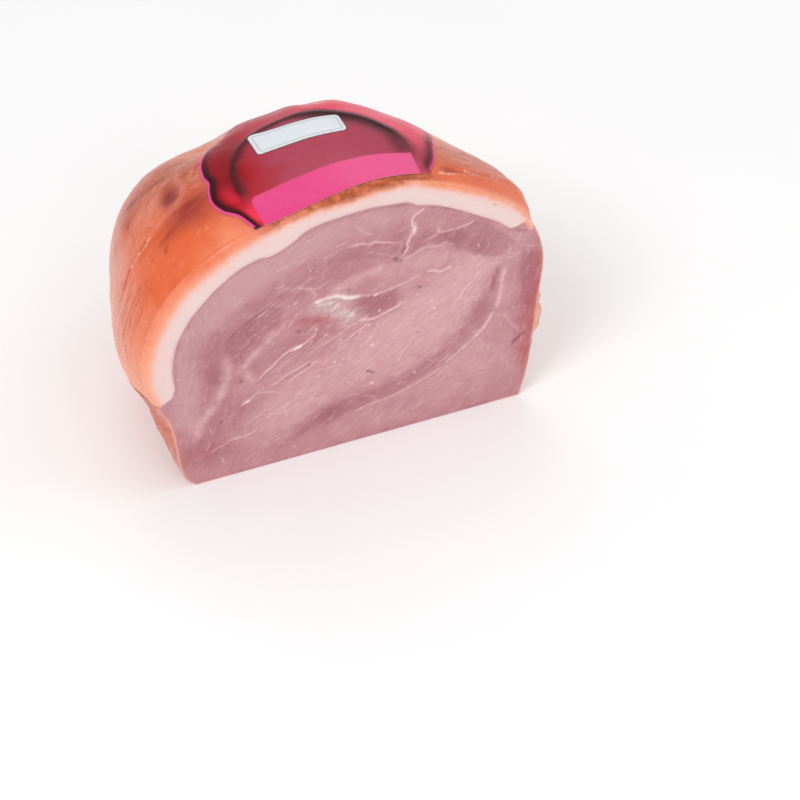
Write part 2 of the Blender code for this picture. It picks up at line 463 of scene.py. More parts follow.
def back_end(s):
    """u where the fat cap ends at the back, for each s, found by halving."""
    low, high = np.full(np.shape(s), 0.5), np.full(np.shape(s), 1.0)
    for _ in range(HALVINGS):
        middle = (low + high) / 2
        above = surface(s, middle)[..., 2] > CAP_BACK_HEIGHT
        low, high = np.where(above, middle, low), np.where(above, high, middle)
    return low


def cap_edge_distance(s, u, end):
    """How far a place is inside the fat cap's edge, in millimetres, below 0 outside it."""
    return np.minimum(np.minimum(s - CAP_LEFT, CAP_RIGHT - s), (end - u) * LENGTH)


def bed_depth(s, u, end):
    """Depth of the lean's surface under the outside of the block."""
    inward = cap_edge_distance(s, u, end)
    thickness = np.interp(s - TOP, PROFILE[:, 0], PROFILE[:, 1])
    thickness = thickness + 0.25 * stretched(s, 0 * s, 5, 7.0) * ease(inward, 4, 14)
    return thickness * (0.82 * ease(inward, -1.0, 2.2) + 0.18 * ease(inward, 1.0, 9.0))


def cut_boundary(s):
    """Outline of the lean on the cut face."""
    return raised(s, 0 * s, -bed_depth(s, 0 * s, np.ones_like(s)))


def even_places(start, end, count):
    """Places from start to end that lie evenly along the lean's outline on the cut face."""
    s = np.linspace(start, end, CUT_SAMPLES)
    run = run_along(cut_boundary(s))
    return np.interp(np.linspace(0, run[-1], count), run, s)


# The cut face

LEAN_GLOSS = 0.022
LEAN = colour(195, 137, 143, LEAN_GLOSS)
LEAN_PALE = colour(220, 169, 173, LEAN_GLOSS)
LEAN_GREY = colour(203, 156, 160, LEAN_GLOSS)
LEAN_DARK = colour(166, 100, 110, LEAN_GLOSS)
LEAN_RED = colour(184, 92, 98, LEAN_GLOSS)
TENDON = colour(212, 184, 185, LEAN_GLOSS)
SEAM = colour(248, 204, 205, LEAN_GLOSS)
CRACK = colour(112, 52, 66, LEAN_GLOSS)
# White of tendons and fat flecks; the flecks are partly glints of the wet surface painted in this white
LEAN_WHITE_AND_GLINT = colour(255, 242, 238)

# Each patch is x, z, wide, high, turn in degrees, share
PALE_PATCHES = [
    (40, 78, 42, 16, 32, 1.0), (44, 68, 22, 20, 40, 0.8), (60, 82, 13, 13, 0, 0.75),
    (8, 58, 34, 15, 22, 0.75), (-28, 40, 26, 14, 20, 0.65), (-37, 38, 12, 9, 0, 0.6),
    (-38, 27, 22, 9, 5, 0.5), (35, 108, 14, 5, -10, 0.5), (60, 96, 12, 8, 0, 0.7),
    (16, 108, 9, 3.5, 10, 0.5), (52, 30, 34, 11, 8, 0.6), (58, 46, 9, 12, -40, 0.5),
    (22, 42, 16, 6, 20, 0.4), (20, 15, 45, 8, 3, 0.5), (-84, 40, 5, 5, 30, 0.5), (-30, 55, 14, 8, 25, 0.25),
    (64, 33, 1.6, 16, 0, 0.25), (-38, 91, 3, 7, -25, 0.35), (78, 78, 3.5, 14, 0, 0.25),
    (24, 93, 7, 4, 0, 0.5), (8, 140, 26, 4, 0, 0.3)
]
GREY_PATCHES = [
    (-60, 115, 22, 7, 42, 0.9), (-36, 129, 20, 6, 18, 0.9), (-84, 92, 4.5, 18, -12, 0.7),
    (-86, 60, 7, 16, 0, 0.7), (-85, 45, 7, 7, 0, 0.5), (6, 138, 26, 6, 3, 0.6), (-14, 93, 6, 4, -10, 0.7),
    (82, 106, 5, 3.5, -20, 0.6), (-46, 60, 12, 8, 30, 0.2)
]
DARK_PATCHES = [
    (-72, 70, 5, 9, -8, 0.75), (-68, 88, 9, 10, 0, 0.4), (-55, 87, 9, 11, -15, 0.5),
    (-78, 76, 6, 9, 0, 0.35), (-42, 103, 16, 6, 28, 0.35), (-8, 117, 26, 8, 5, 0.40), (8, 88, 13, 5, 6, 0.7),
    (-1, 92, 5, 3, -20, 0.5), (50, 115, 9, 5.5, -28, 0.8), (62, 106, 10, 4, -32, 0.5),
    (32, 119, 6, 4, 40, 0.3), (88, 84, 5, 14, 0, 0.85), (88, 66, 5, 9, 0, 0.75), (86, 54, 5, 3, 20, 0.6),
    (63, 70, 5, 15, -26, 0.65), (50, 53, 14, 4, 48, 0.3), (34, 39, 15, 4, 28, 0.4),
    (8, 29, 17, 4.5, 10, 0.5), (-80, 88, 7, 11, 0, 0.5), (90, 60, 5, 34, 0, 0.6), (90, 34, 6, 14, 0, 0.5),
    (-70, 68, 10, 8, 0, 0.4), (-78, 50, 6, 12, 0, 0.4), (-76, 18, 12, 7, 0, 0.6), (-56, 100, 20, 7, 40, 0.3),
    (76, 86, 5, 10, 0, 0.3), (20, 17, 20, 5, 5, 0.3), (-16, 24, 13, 6.5, 15, 0.85),
    (-30, 16, 10, 4, 25, 0.5), (-78, 25, 8, 8, 0, 0.6), (-87, 24, 4, 9, 0, 0.5), (-62, 40, 11, 8, 40, 0.3),
    (-50, 68, 7, 5, 20, 0.3), (20, 122, 4, 8, 0, 0.25), (-30, 78, 12, 6, 25, 0.3),
    (70, 86, 1.6, 7, -10, 0.6), (84, 41, 6, 1.8, 35, 0.7), (30, 92, 9, 5, 0, 0.3)
]
# Red patches; the three along the right edge, at x about 90, are painted reflected red light
RED_PATCHES = [
    (-22.5, 88, 9, 3.6, -12, 0.7), (-16, 86, 5, 3.0, -20, 0.5), (92.5, 80, 3, 17, 0, 0.75),
    (90.5, 52, 6, 24, 0, 0.9), (90, 28, 5, 14, 0, 0.85), (-91, 24, 3, 14, 0, 0.5), (-80, 21, 7, 5, 0, 0.3),
    (-14, 78, 12, 3, 8, 0.25)
]

# Muscles that end at a seam: colour, share, softness of the edge, outline
MUSCLES = [
    ("dark", 0.60, 1.3, [(-3, 92), (3, 94.3), (12, 94.7), (19, 94.5), (19, 89), (19, 84), (14, 81.3),
     (6, 79.5), (2, 81), (-1, 86)]),
    ("dark", 0.50, 1.2, [(41, 122), (46, 121.6), (52.7, 122.2), (58, 124.5), (66, 119), (75, 110), (80, 104),
     (71, 97.5), (64, 100), (56, 105.6), (47.7, 111.6), (43, 114.7), (38, 117.5)]),
    ("dark", 0.28, 1.6, [(-16, 122), (-4, 127), (6, 125.2), (13, 124.5), (22.7, 120.6), (21.5, 113.5),
     (17, 113), (5, 117), (-8, 119)]),
    ("dark", 0.34, 1.2, [(28.5, 128), (34, 126), (40, 122.5), (36, 118.5), (32, 115.6), (25, 112), (24, 118),
     (27.5, 123)]),
    ("dark", 0.50, 1.5, [(-42, 104), (-50, 99), (-58, 93), (-66, 87), (-67, 78), (-62, 73), (-56, 73),
     (-50, 78), (-43, 86), (-38, 92), (-37, 100)]),
    ("dark", 0.36, 2.0, [(71, 64), (66, 76), (61, 68), (54, 58), (45, 47.5), (33, 39), (20, 34), (8, 32),
     (-8, 31), (-22, 29), (-36, 21), (-38, 13), (-8, 19.6), (6, 22), (20, 25), (32, 28.6), (45, 35.7),
     (55, 44), (65, 55)]),
    ("pale", 0.42, 3.5, [(26, 97), (40, 98), (56, 101), (68, 94), (64, 84), (58, 72), (50, 60), (40, 50),
     (28, 43), (12, 40), (0, 47), (-8, 57), (-2, 68), (8, 76), (20, 80), (24, 88)]),
    ("pale", 0.25, 1.0, [(22, 110.8), (30, 114), (43, 114.2), (49, 110.5), (50, 102), (44, 98.6), (36, 99.8),
     (26, 97), (14, 100), (10, 106)]),
    ("grey", 0.75, 3.5, [(-92, 60), (-91.5, 80), (-88, 95), (-82, 106), (-74, 115.5), (-61.9, 126),
     (-48, 132.5), (-30, 138), (-14, 144), (-4, 146), (-4, 135), (-22, 126), (-38, 118), (-55, 110),
     (-68, 100), (-76, 88), (-79, 74), (-80, 60), (-84, 48), (-93, 42)]),
    ("dark", 0.30, 1.2, [(74, 90), (71, 90), (68.5, 84), (67, 76), (70, 70), (73, 78)]),
    ("dark", 0.30, 2.0, [(-66, 58), (-71, 50), (-77, 43), (-82, 36), (-78, 30), (-66, 33), (-58, 42),
     (-58, 50)]),
    ("dark", 0.40, 2.0, [(84, 96), (96, 96), (96, 66), (92, 60), (86, 56), (84, 70)]),
]

# Each line is width, strength and its points
SEAMS = [
    (0.75, 0.95, [(36, 140), (31, 137.5), (27.5, 135), (27, 131), (28, 127.5), (25.5, 123), (24, 119.5),
     (24.5, 117.5), (22.5, 114.5), (20.5, 112)]),
    (1.5, 0.85, [(27, 133), (28, 127.5), (26.5, 124)]),
    (0.55, 0.8, [(-6, 127), (2, 127), (6, 125.5), (9, 126.3), (14, 124), (19, 122.5), (23, 121)]),
    (0.6, 0.4, [(-1, 140), (1, 136), (5, 132.5), (9, 130)]),
    (0.5, 0.3, [(3, 121), (9, 119.5), (15, 116), (19, 113)]),
    (0.8, 0.55, [(22, 110.5), (26, 112), (30, 114), (35, 115), (40, 114), (43, 115), (49, 111)]),
    (0.7, 0.6, [(40.3, 127), (40.5, 122.5), (46, 121.7), (52, 122), (57, 123.5), (58.5, 126)]),
    (0.6, 0.35, [(40.5, 122.5), (36, 120), (31, 118)]),
    (0.85, 0.6, [(-8, 97), (0, 95.5), (8, 94), (15, 95), (22, 96), (29, 98), (35, 100)]),
    (0.75, 0.95, [(34, 100), (38, 99.3), (41, 98), (44, 98.2), (48, 99.8)]),
    (0.6, 0.45, [(48, 99.8), (50, 102), (50.3, 106)]),
    (0.85, 0.85, [(-2, 81.5), (3, 79.7), (7, 79), (12, 80), (17, 81.5), (21, 83.3), (21.3, 87)]),
    (0.65, 0.7, [(62, 93), (60, 89), (57, 85), (54, 82), (52, 78), (47, 73)]),
    (0.5, 0.5, [(63.5, 91), (61.5, 87), (58, 83.5), (55, 79)]),
    (0.6, 0.55, [(29, 58), (24, 54), (22, 51.5), (20, 47)]),
    (1.3, 0.65, [(75, 91), (74, 84), (73, 76), (72, 69), (70, 62.5)]),
    (1.0, 0.85, [(71, 66), (68, 60), (65.5, 55.5), (63, 52), (57, 45.5), (50, 40), (43, 35)]),
    (0.85, 0.6, [(46, 37), (40, 33), (30, 28.5), (20, 25), (10, 23), (0, 21), (-8, 18.5)]),
    (0.7, 0.35, [(71, 61.5), (76, 58), (80, 51), (85, 45)]),
    (0.9, 0.55, [(-20, 101), (-22.5, 107), (-26, 108.5), (-31, 111)]),
    (2.6, 0.35, [(16, 112), (8, 109), (0, 107), (-8, 103.5), (-16, 101)]),
    (2.4, 0.4, [(-66.5, 84), (-65.5, 74), (-66, 66), (-69, 58), (-74, 49), (-80, 42), (-86, 26)]),
    (2.2, 0.42, [(-40, 91), (-46, 82), (-51, 77.5), (-55.5, 73), (-57, 67), (-55, 61), (-52, 56)]),
    (0.55, 0.5, [(-42, 88), (-46, 82.5), (-50, 78.5), (-55, 75)]),
    (0.55, 0.9, [(-20.5, 82), (-22, 78.5), (-27, 75), (-33, 72.7), (-38, 70.7), (-43, 66), (-49, 61.5),
     (-53, 56)]),
    (0.55, 0.85, [(-19, 63), (-23, 61), (-27, 61.3), (-33, 59), (-38, 56.5), (-42, 54), (-47, 53.3)]),
    (0.5, 0.6, [(-18, 62), (-24, 58.5), (-28, 57), (-33, 54.5), (-36, 51.5), (-38, 49)]),
    (0.55, 0.6, [(-38, 49), (-41, 47.5), (-45, 49), (-50, 50.5), (-54, 49.7), (-57, 47.5)]),
    (0.45, 0.5, [(-8, 53.5), (-13, 54.5), (-19, 55), (-24, 53), (-28, 51.5)]),
    (0.55, 0.55, [(-28, 36.5), (-34, 34.8), (-39, 33), (-44, 33.5), (-47, 35.3)]),
    (0.5, 0.5, [(-47, 39), (-52, 36), (-56, 33.5), (-60, 31.5)]),
    (0.5, 0.5, [(-20, 42.5), (-28, 42), (-35, 42.8)]),
    (0.6, 0.75, [(-53, 25.4), (-57, 25), (-61, 24), (-67, 23.6)]),
    (0.6, 0.45, [(-64, 26.5), (-69, 23), (-74, 21), (-78, 19)]),
    (0.6, 0.7, [(6, 78), (2, 75), (-3, 72), (-8, 69), (-12, 67)]),
    (0.55, 0.6, [(1, 80), (-4, 78.3), (-8, 76), (-12, 73.5), (-16, 71.5), (-22, 69)]),
    (0.5, 0.5, [(-16, 84), (-12, 87), (-8, 88), (-4, 86), (-1, 82)]),
    (0.6, 0.4, [(57, 101), (63, 97), (68, 94), (74, 93)]),
    (0.5, 0.4, [(76, 105), (78, 101), (77, 98), (81, 97), (84, 95)]),
    (0.5, 0.45, [(74, 96), (78, 95.5), (82, 95.8)]),
    (0.5, 0.4, [(84, 101), (89, 99), (93, 98.5)]),
    (0.45, 0.35, [(1, 31), (5, 28), (9, 24.5)]),
    (0.5, 0.35, [(49, 45), (43, 42.5), (38, 39), (33, 36)]),
    (0.5, 0.35, [(34, 46), (36, 42.5), (39, 39.5)]),
    (0.5, 0.45, [(-38.5, 105.5), (-42, 103.5), (-46, 100.5), (-50, 98)]),
    (0.45, 0.35, [(-9, 33), (-4, 32), (1, 31)]),
]
CRACKS = [
    (1.1, 1.0, [(18, 113.8), (19.5, 111.5), (22.8, 109.6)]),
    (0.5, 0.8, [(22.5, 120.5), (23.6, 118.5), (22.6, 116.5), (22.3, 114)]),
    (0.5, 0.35, [(25.7, 134), (26, 131), (26.2, 128)]),
    (0.6, 0.45, [(-40, 104.5), (-46, 101.5), (-52, 98.3), (-57, 95), (-62, 91), (-65, 87)]),
    (0.55, 0.85, [(3, 45.4), (5.5, 44.6), (8, 42.6)]),
    (0.6, 0.4, [(-19.5, 80), (-21.5, 76), (-23.5, 72)]),
    (0.9, 0.35, [(71.6, 92), (70.8, 87), (69, 81), (68, 77)]),
    (1.0, 0.5, [(80, 38), (84, 41), (88, 43.5)]),
    (0.45, 0.4, [(-26, 60), (-30, 58.3), (-35, 55.8), (-39, 54)]),
    (0.45, 0.35, [(62, 50), (56, 44), (50, 39), (43, 34)]),
]
TENDONS = [
    (1.1, 0.9, [(-23, 97), (-20, 98.8), (-15, 99.6), (-10, 99.2), (-5.5, 96.8), (2, 95.4)]),
    (0.9, 0.45, [(-21, 97), (-17, 96.3), (-12, 95.6)]),
    (0.9, 0.35, [(-14, 90), (-11, 93), (-9, 95)]),
    (0.7, 0.4, [(-6.5, 81.5), (-4, 85), (-2, 87.5)]),
    (0.7, 0.35, [(-11, 86), (-8, 89), (-6, 90.5)]),
    (0.8, 0.7, [(-28.5, 74.5), (-30.5, 73.7), (-33, 72.7)]),
]
# Each pale seam that isn't wider than this has a thin painted shadow below it and to its right
SHADOW_SHIFT = np.array([-0.45, 0.62])
SHADOW_WIDEST = 1.2

# Random marks on the cut face
LEAN_SEED = 12
THREADS = 230
LONG_THREADS = 90
FAN_THREADS = 46
SMALL_HOLES = 45
SMALL_FLECKS = 90
FIBRE_TURN = 33
STEEP_TURN = 78
CUT_SIDES = 70

# Small bright flecks, partly white flecks of fat and partly painted glints of the wet surface, are x, z,
# wide, high, turn, and holes x, z, radius
FLECKS_AND_GLINTS = [
    (-57.5, 47.3, 2.1, 0.8, 24), (-59.5, 46.2, 0.8, 0.6, 0), (-21.3, 82, 0.6, 0.8, 0),
    (8.5, 94, 1.2, 0.6, 10), (-31, 73.6, 3.2, 0.7, 22), (6, 36.7, 0.7, 0.9, 0), (28.6, 36.3, 0.5, 0.9, 0),
    (-16.5, 76.6, 0.8, 0.6, 0), (10.6, 83, 0.6, 0.8, 0), (6.5, 62, 1.0, 0.5, -20),
    (28.1, 127.6, 0.7, 2.4, -4), (20.2, 47, 0.5, 0.8, 0), (-23, 119, 0.4, 0.8, 0), (60.6, 108, 0.4, 1.0, 0),
    (38.6, 75, 0.4, 0.9, 0), (-12.5, 57.5, 0.6, 0.6, 0), (-3.2, 84.6, 0.5, 0.6, 0), (-89.8, 73, 0.4, 0.7, 0),
    (12, 71.5, 0.4, 0.5, 0)
]
HOLES = [
    (-4.7, 100.7, 0.7), (31, 91, 0.8), (30, 62, 0.5), (-26, 60.5, 0.8), (-59.5, 61, 0.9), (6.3, 93.4, 0.5),
    (-30, 83, 0.8), (-71, 38, 0.8), (-73, 51, 0.6), (-64, 34, 0.6)
]


def fibres(places, turn, length, width, seed):
    """Fine streaks that run at an angle over the cut face."""
    c, s = math.cos(math.radians(turn)), math.sin(math.radians(turn))
    along = places[:, 0] * c + places[:, 1] * s
    across = places[:, 1] * c - places[:, 0] * s + 2.2 * layered(places, 26.0, seed + 40, 2)
    return stretched(along / length, across / width, seed)


def loose_strands(q, random):
    """Short random threads over the cut face, and a fan of finer ones round the pale sinew."""
    threads, fan = np.zeros(len(q)), np.zeros(len(q))
    for k in range(THREADS):
        x, z = random.uniform(-88, 88), random.uniform(6, 140)
        turn = math.radians(random.normal(FIBRE_TURN, 16) if abs(x) < 66 else random.normal(80, 18))
        strand(threads, q, (x, z), turn, 0.5 * random.uniform(2.0, 8.0), random.uniform(-0.8, 0.8),
               random.uniform(0.35, 0.6), random.uniform(0.15, 0.5), seed=k)
    for k in range(LONG_THREADS):
        middle = random.normal(2, 32), random.normal(64, 20)
        turn = math.radians(random.normal(36, 6))
        step, bend = random.uniform(3.5, 9.0), random.uniform(-0.9, 0.9)
        if abs(middle[0]) < 60:
            strand(threads, q, middle, turn, step, bend, random.uniform(0.3, 0.45),
                   random.uniform(0.15, 0.5), 0.8, k + 400)
    for k in range(FAN_THREADS):
        middle = random.normal(-6, 6.5), random.normal(85, 5.0)
        turn = math.radians(random.normal(38, 10))
        strand(fan, q, middle, turn, random.uniform(0.6, 1.8), 0.0, random.uniform(0.35, 0.65),
               random.uniform(0.2, 0.7), seed=k + 300)
    return threads, fan


def lean_face_looks(places, edge):
    """Colour, wetness, height towards the viewer and steepness of the fibres on the cut face."""
    warp, fine = warped(places, 7.0, 31), warped(places, 2.2, 33)
    p = places + 1.6 * warp + 0.3 * fine
    q = places + 0.5 * warp + 0.35 * fine
    tables = {"grey": GREY_PATCHES, "pale": PALE_PATCHES, "dark": DARK_PATCHES, "red": RED_PATCHES}
    share = {name: patched(p, patches) for name, patches in tables.items()}
    for name, amount, soft, points in MUSCLES:
        muscle = region(q, np.array([*points, points[0]], float), -soft, soft)
        share[name] = 1 - (1 - share[name]) * (1 - amount * muscle)
    left, right = ease(-places[:, 0], 45, 75), ease(places[:, 0], 66, 80)
    grain = fibres(q, FIBRE_TURN, 9.0, 1.1, 3) * (1 - left) * (1 - right)
    grain = grain + fibres(q, STEEP_TURN, 8.0, 1.3, 7) * np.maximum(0.4 * left, right)
    mottle, dust = layered(q, 9.0, 11), layered(places, 2.4, 14, 2)
    calm = 1 - 0.6 * share["grey"]
    darker = 0.40 * unit(-mottle) + 0.14 * unit(-grain) + 0.16 * unit(-dust)
    paler = 0.42 * unit(mottle) + 0.20 * unit(grain) + 0.22 * unit(dust)
    pale = drawn(q, SEAMS, 1)
    cast = [(width, strength * (width < SHADOW_WIDEST), points) for width, strength, points in SEAMS]
    shadow = drawn(q + SHADOW_SHIFT, cast, 1, wider=0.8, fainter=0.85)
    dark = drawn(q, CRACKS, 70, 0.3)
    white = drawn(q, TENDONS, 90, 0.3)
    random = np.random.default_rng(LEAN_SEED)
    threads, fan = loose_strands(q, random)
    fleck_and_glint = np.max([blob(q, *spot) ** 1.5 for spot in FLECKS_AND_GLINTS], axis=0)
    hole = np.max([blob(q, x, z, radius, radius) for x, z, radius in HOLES], axis=0)
    for _ in range(SMALL_HOLES):
        x, z = random.uniform(-85, 85), random.uniform(8, 138)
        radius = random.uniform(0.25, 0.5)
        hole = np.maximum(hole, 0.5 * blob(q, x, z, radius * 1.6, radius, 30))
    for _ in range(SMALL_FLECKS):
        x, z = random.normal(-6, 38), random.normal(66, 30)
        size = random.uniform(0.25, 0.5)
        spot = blob(q, x, z, size * random.uniform(1, 2), size, random.uniform(10, 60))
        fleck_and_glint = np.maximum(fleck_and_glint, random.uniform(0.2, 0.6) * spot)
    cloudy = 0.70 + 0.6 * layered(q, 3.0, 37, 2)
    tendon = np.maximum(blob(q, -14, 94, 9, 4.5, -10), blob(q, -5.5, 85.5, 7, 4.5, -28)) * cloudy
    threads = threads * (1 - 0.8 * left * ease(places[:, 1], 30, 50))
    rim = bell(edge - 1.5, 1.1) * np.clip(0.28 + 0.5 * noise(places, 9.0, 36), 0, 0.5)
    touch = bell(edge, 0.7)
    bare = (places[:, 1] < CAP_RIGHT_HEIGHT) & (places[:, 0] > CUT_SIDES)
    bare = bare | (places[:, 1] < CAP_LEFT_HEIGHT) & (places[:, 0] < -CUT_SIDES)
    tint = painted(
        LEAN, (LEAN_GREY, share["grey"]), (LEAN_PALE, share["pale"] * (1 - 0.5 * share["grey"])),
        # The red coat includes painted reflected red light along the right edge of the cut face
        (LEAN_DARK, share["dark"] * (1 - 0.6 * share["grey"])), (LEAN_RED, share["red"]),
        # The coat of dark offset from the thin seams is a painted shadow
        (LEAN_DARK, darker * calm), (LEAN_PALE, paler * calm), (LEAN_DARK, 0.85 * shadow),
        (TENDON, tendon), (SEAM, np.maximum(0.92 * pale, 0.8 * threads)),
        (LEAN_WHITE_AND_GLINT, np.maximum(white, 0.45 * fan)), (CRACK, np.maximum(dark, 0.75 * hole) * 0.8),
        # The white flecks here are partly painted glints of the wet surface
        (LEAN_WHITE_AND_GLINT, 0.85 * fleck_and_glint), (LEAN_DARK, rim * ~bare), (LEAN_PALE, 0.35 * touch * ~bare),
        (SIDE_PEACH, 0.65 * touch * bare))
    height = 0.55 * layered(places, 22.0, 21, 2) + 0.16 * layered(places, 4.0, 23, 2)
    height = height + 0.06 * grain + 0.05 * dust + 0.34 * pale - 0.18 * shadow + 0.16 * threads
    height = height + 0.5 * white + 0.30 * fan + 0.45 * fleck_and_glint - 0.9 * dark - 0.8 * hole
    wet = unit(0.35 + 0.5 * pale + 0.8 * fleck_and_glint + 0.5 * white + 0.4 * layered(places, 6.0, 51, 2))
    return tint, wet, height * ease(edge, 0, 2.5), np.maximum(left, right)


# The outside of the lean below the fat cap

SIDE_GLOSS = 0.03
SIDE_SALMON = colour(226, 122, 94, SIDE_GLOSS)
SIDE_ORANGE = colour(214, 104, 66, SIDE_GLOSS)
SIDE_RED = colour(176, 72, 48, SIDE_GLOSS)
SIDE_PINK = colour(222, 142, 128, SIDE_GLOSS)
SIDE_PEACH = colour(252, 182, 152)
FOOT = colour(190, 122, 114)

# Lumps of soft fat on the right of the cut: s from the right foot, y, radius, height
SIDE_LUMPS = [(64, 3.5, 4.5, 3.2), (53, 4.5, 6.0, 5.8), (44, 3.5, 4.5, 4.2), (33, 3.5, 4.5, 2.0)]
# Swelling of the lean on the left of the cut: s, y, wide, back, and its height
SIDE_SWELL = (36, 24, 20, 22)
SIDE_SWELL_HEIGHT = 4.6


def lean_side_looks(s, u, points, depth):
    """Colour, wetness and outward height of the lean's outside."""
    y = y_at(u)
    wave = layered(points, 24.0, 61)
    slanted = s * 0.75 + y * 0.66 + 3.0 * noise(points, 12.0, 62)
    folds = stretched(slanted / 2.6, (y * 0.8 - s * 0.3) / 14.0, 63)
    creases = unit(1 - np.abs(folds) * 2.2) ** 3
    grain = layered(points, 3.2, 65, 2)
    lump, lump_height = np.zeros_like(s), np.zeros_like(s)
    for place, back, radius, height in SIDE_LUMPS:
        near = blob(np.stack([OUTLINE_LENGTH - s, y], -1), place, back, radius, radius)
        lump = np.maximum(lump, near)
        lump_height = lump_height + height * near
    tint = painted(
        SIDE_SALMON, (SIDE_ORANGE, 0.5 + 1.3 * wave),
        (SIDE_PINK, 0.45 + 1.6 * layered(points, 30.0, 66, 2)),
        (SIDE_RED, 0.55 * creases + 0.30 * unit(-grain * 2)),
        (SIDE_PEACH, 0.85 * bell(y, 1.6) * (depth < 0.5)), (SIDE_PEACH, 0.9 * lump),
        (FOOT, ease(-points[..., 2], -6, 0) * 0.8), (LEAN_DARK, ease(depth, 0.5, 3)))
    flat = np.stack([s, y, 0 * s], -1)
    out = 1.0 * wave + 0.27 * grain - 0.45 * creases
    swell = SIDE_SWELL_HEIGHT * blob(flat, *SIDE_SWELL) * ease(y, 0, 9)
    out = (out * ease(y, 0, 4) + swell) * ease(points[..., 2], 0, 10) + lump_height * ease(y, 0, 2.0)
    out = out * (1 - ease(depth, 0.2, 1.5)) * (1 - ease(u, 0.93, 1.0))
    return tint, unit(0.5 + 0.8 * layered(flat, 14.0, 67, 2)), out


def smoothed_patch(bottom, top, left, right):
    """A grid of points inside four edges, evened out."""
    u = np.linspace(0, 1, len(bottom))[:, None, None]
    v = np.linspace(0, 1, len(left))[None, :, None]
    grid = (1 - v) * bottom[:, None] + v * top[:, None] + (1 - u) * left[None] + u * right[None]
    grid = grid - ((1 - u) * (1 - v) * bottom[0] + u * (1 - v) * bottom[-1]
                   + (1 - u) * v * top[0] + u * v * top[-1])
    for _ in range(SMOOTHINGS):
        sides = grid[:-2, 1:-1] + grid[2:, 1:-1] + grid[1:-1, :-2] + grid[1:-1, 2:]
        grid[1:-1, 1:-1] = sides / 4
    return grid


def make_lean(material):
    """The lean: a finely meshed cut face, the outside, the bed under the cap and a flat foot."""
    corner_left = outline_at_height(FACE_CORNERS[0], left=True)
    corner_right = outline_at_height(FACE_CORNERS[1], left=False)
    left_s = even_places(0, corner_left, FACE_ROWS + 1)
    top_s = even_places(corner_left, corner_right, FACE_COLUMNS + 1)
    right_s = even_places(corner_right, OUTLINE_LENGTH, FACE_ROWS + 1)
    left, top, right = cut_boundary(left_s), cut_boundary(top_s), cut_boundary(right_s)[::-1]
    bottom = between(left[0], right[0], np.linspace(0, 1, FACE_COLUMNS + 1)[:, None])
    face = smoothed_patch(bottom, top, left, right).reshape(-1, 3)
    i, j = (np.minimum(np.arange(n + 1), n - np.arange(n + 1)) for n in (FACE_COLUMNS, FACE_ROWS))
    edge = np.minimum(i[:, None] * FACE_STEP, j[None, :] * FACE_STEP).ravel()
    tint, wet, height, steep = lean_face_looks(face[:, [0, 2]], edge)
    face[:, 1] -= height
    number = np.arange(len(face)).reshape(FACE_COLUMNS + 1, FACE_ROWS + 1)
    faces = grid_faces(number)
    rim = np.r_[number[0], number[1:, -1], number[-1, -2::-1]]
    rim_s = np.r_[left_s, top_s[1:], right_s[1:]]

    hidden = (rim_s > CAP_LEFT + HIDDEN_RIM_MARGIN) & (rim_s < CAP_RIGHT - HIDDEN_RIM_MARGIN)
    kept = [k for k in range(len(rim)) if k % (HIDDEN_RIM_STEP if hidden[k] else RIM_STEP) == 0]
    rows = rim_s[kept]
    q = np.linspace(0, 1, SIDE_COLUMNS + 1)[1:]
    u = np.ones(len(rows))[:, None] * (0.72 * q + 0.28 * q**2)
    s = rows[:, None] * np.ones(SIDE_COLUMNS)
    depth = bed_depth(s, u, back_end(rows)[:, None] * np.ones(SIDE_COLUMNS))
    side = raised(s, u, -depth)
    side_tint, side_wet, out = lean_side_looks(s, u, side, depth)
    side = side + normal(s, u) * out[..., None]
    side[..., 2] = np.maximum(side[..., 2], 0)
    side[[0, -1], :, 2] = 0
    side[:, -1] = side[:, -1].mean(axis=0)
    side_number = len(face) + np.arange(s.size).reshape(s.shape)
    for row, (first, last) in enumerate(zip(kept, kept[1:])):
        faces.append([*rim[first:last + 1].tolist(), *side_number[[row + 1, row], 0].tolist()])
    faces += grid_faces(side_number)
    faces.append([*number[:, 0].tolist(), *side_number[[-1, 0], 0].tolist()])
    faces += grid_faces(side_number[[0, -1]])
    make_piece("lean_cut_block", "lean", np.vstack([face, side.reshape(-1, 3)]), faces,
               np.vstack([tint, side_tint.reshape(-1, 3)]),
               {"wet": np.r_[wet, side_wet.ravel()], "steep": np.r_[steep, np.ones(s.size)]}, material)


# The rind

RIND_GLOSS = 0.041
RIND_ORANGE = colour(229, 107, 68, RIND_GLOSS)
RIND_WARM = colour(243, 138, 102, RIND_GLOSS)
RIND_PEACH = colour(250, 172, 142, RIND_GLOSS)
RIND_PINK = colour(226, 146, 130, RIND_GLOSS)
RIND_BROWN = colour(190, 108, 84, RIND_GLOSS)
RIND_STAIN = colour(216, 92, 104, RIND_GLOSS)
RIND_RUST = colour(160, 48, 14, 0.03)
RIND_DARK = colour(140, 38, 32, 0.02)
RIND_UMBER = colour(164, 84, 48, 0.02)
# Colour of the glints painted into the rind as highlights
RIND_PAINTED_GLINT = colour(255, 236, 214)
FAT_WHITE = colour(237, 209, 203)
FAT_PINK = colour(240, 200, 196)
FAT_CREAM = colour(234, 212, 200)
FAT_INNER = colour(226, 180, 180)
FAT_PEACH = colour(246, 166, 134)

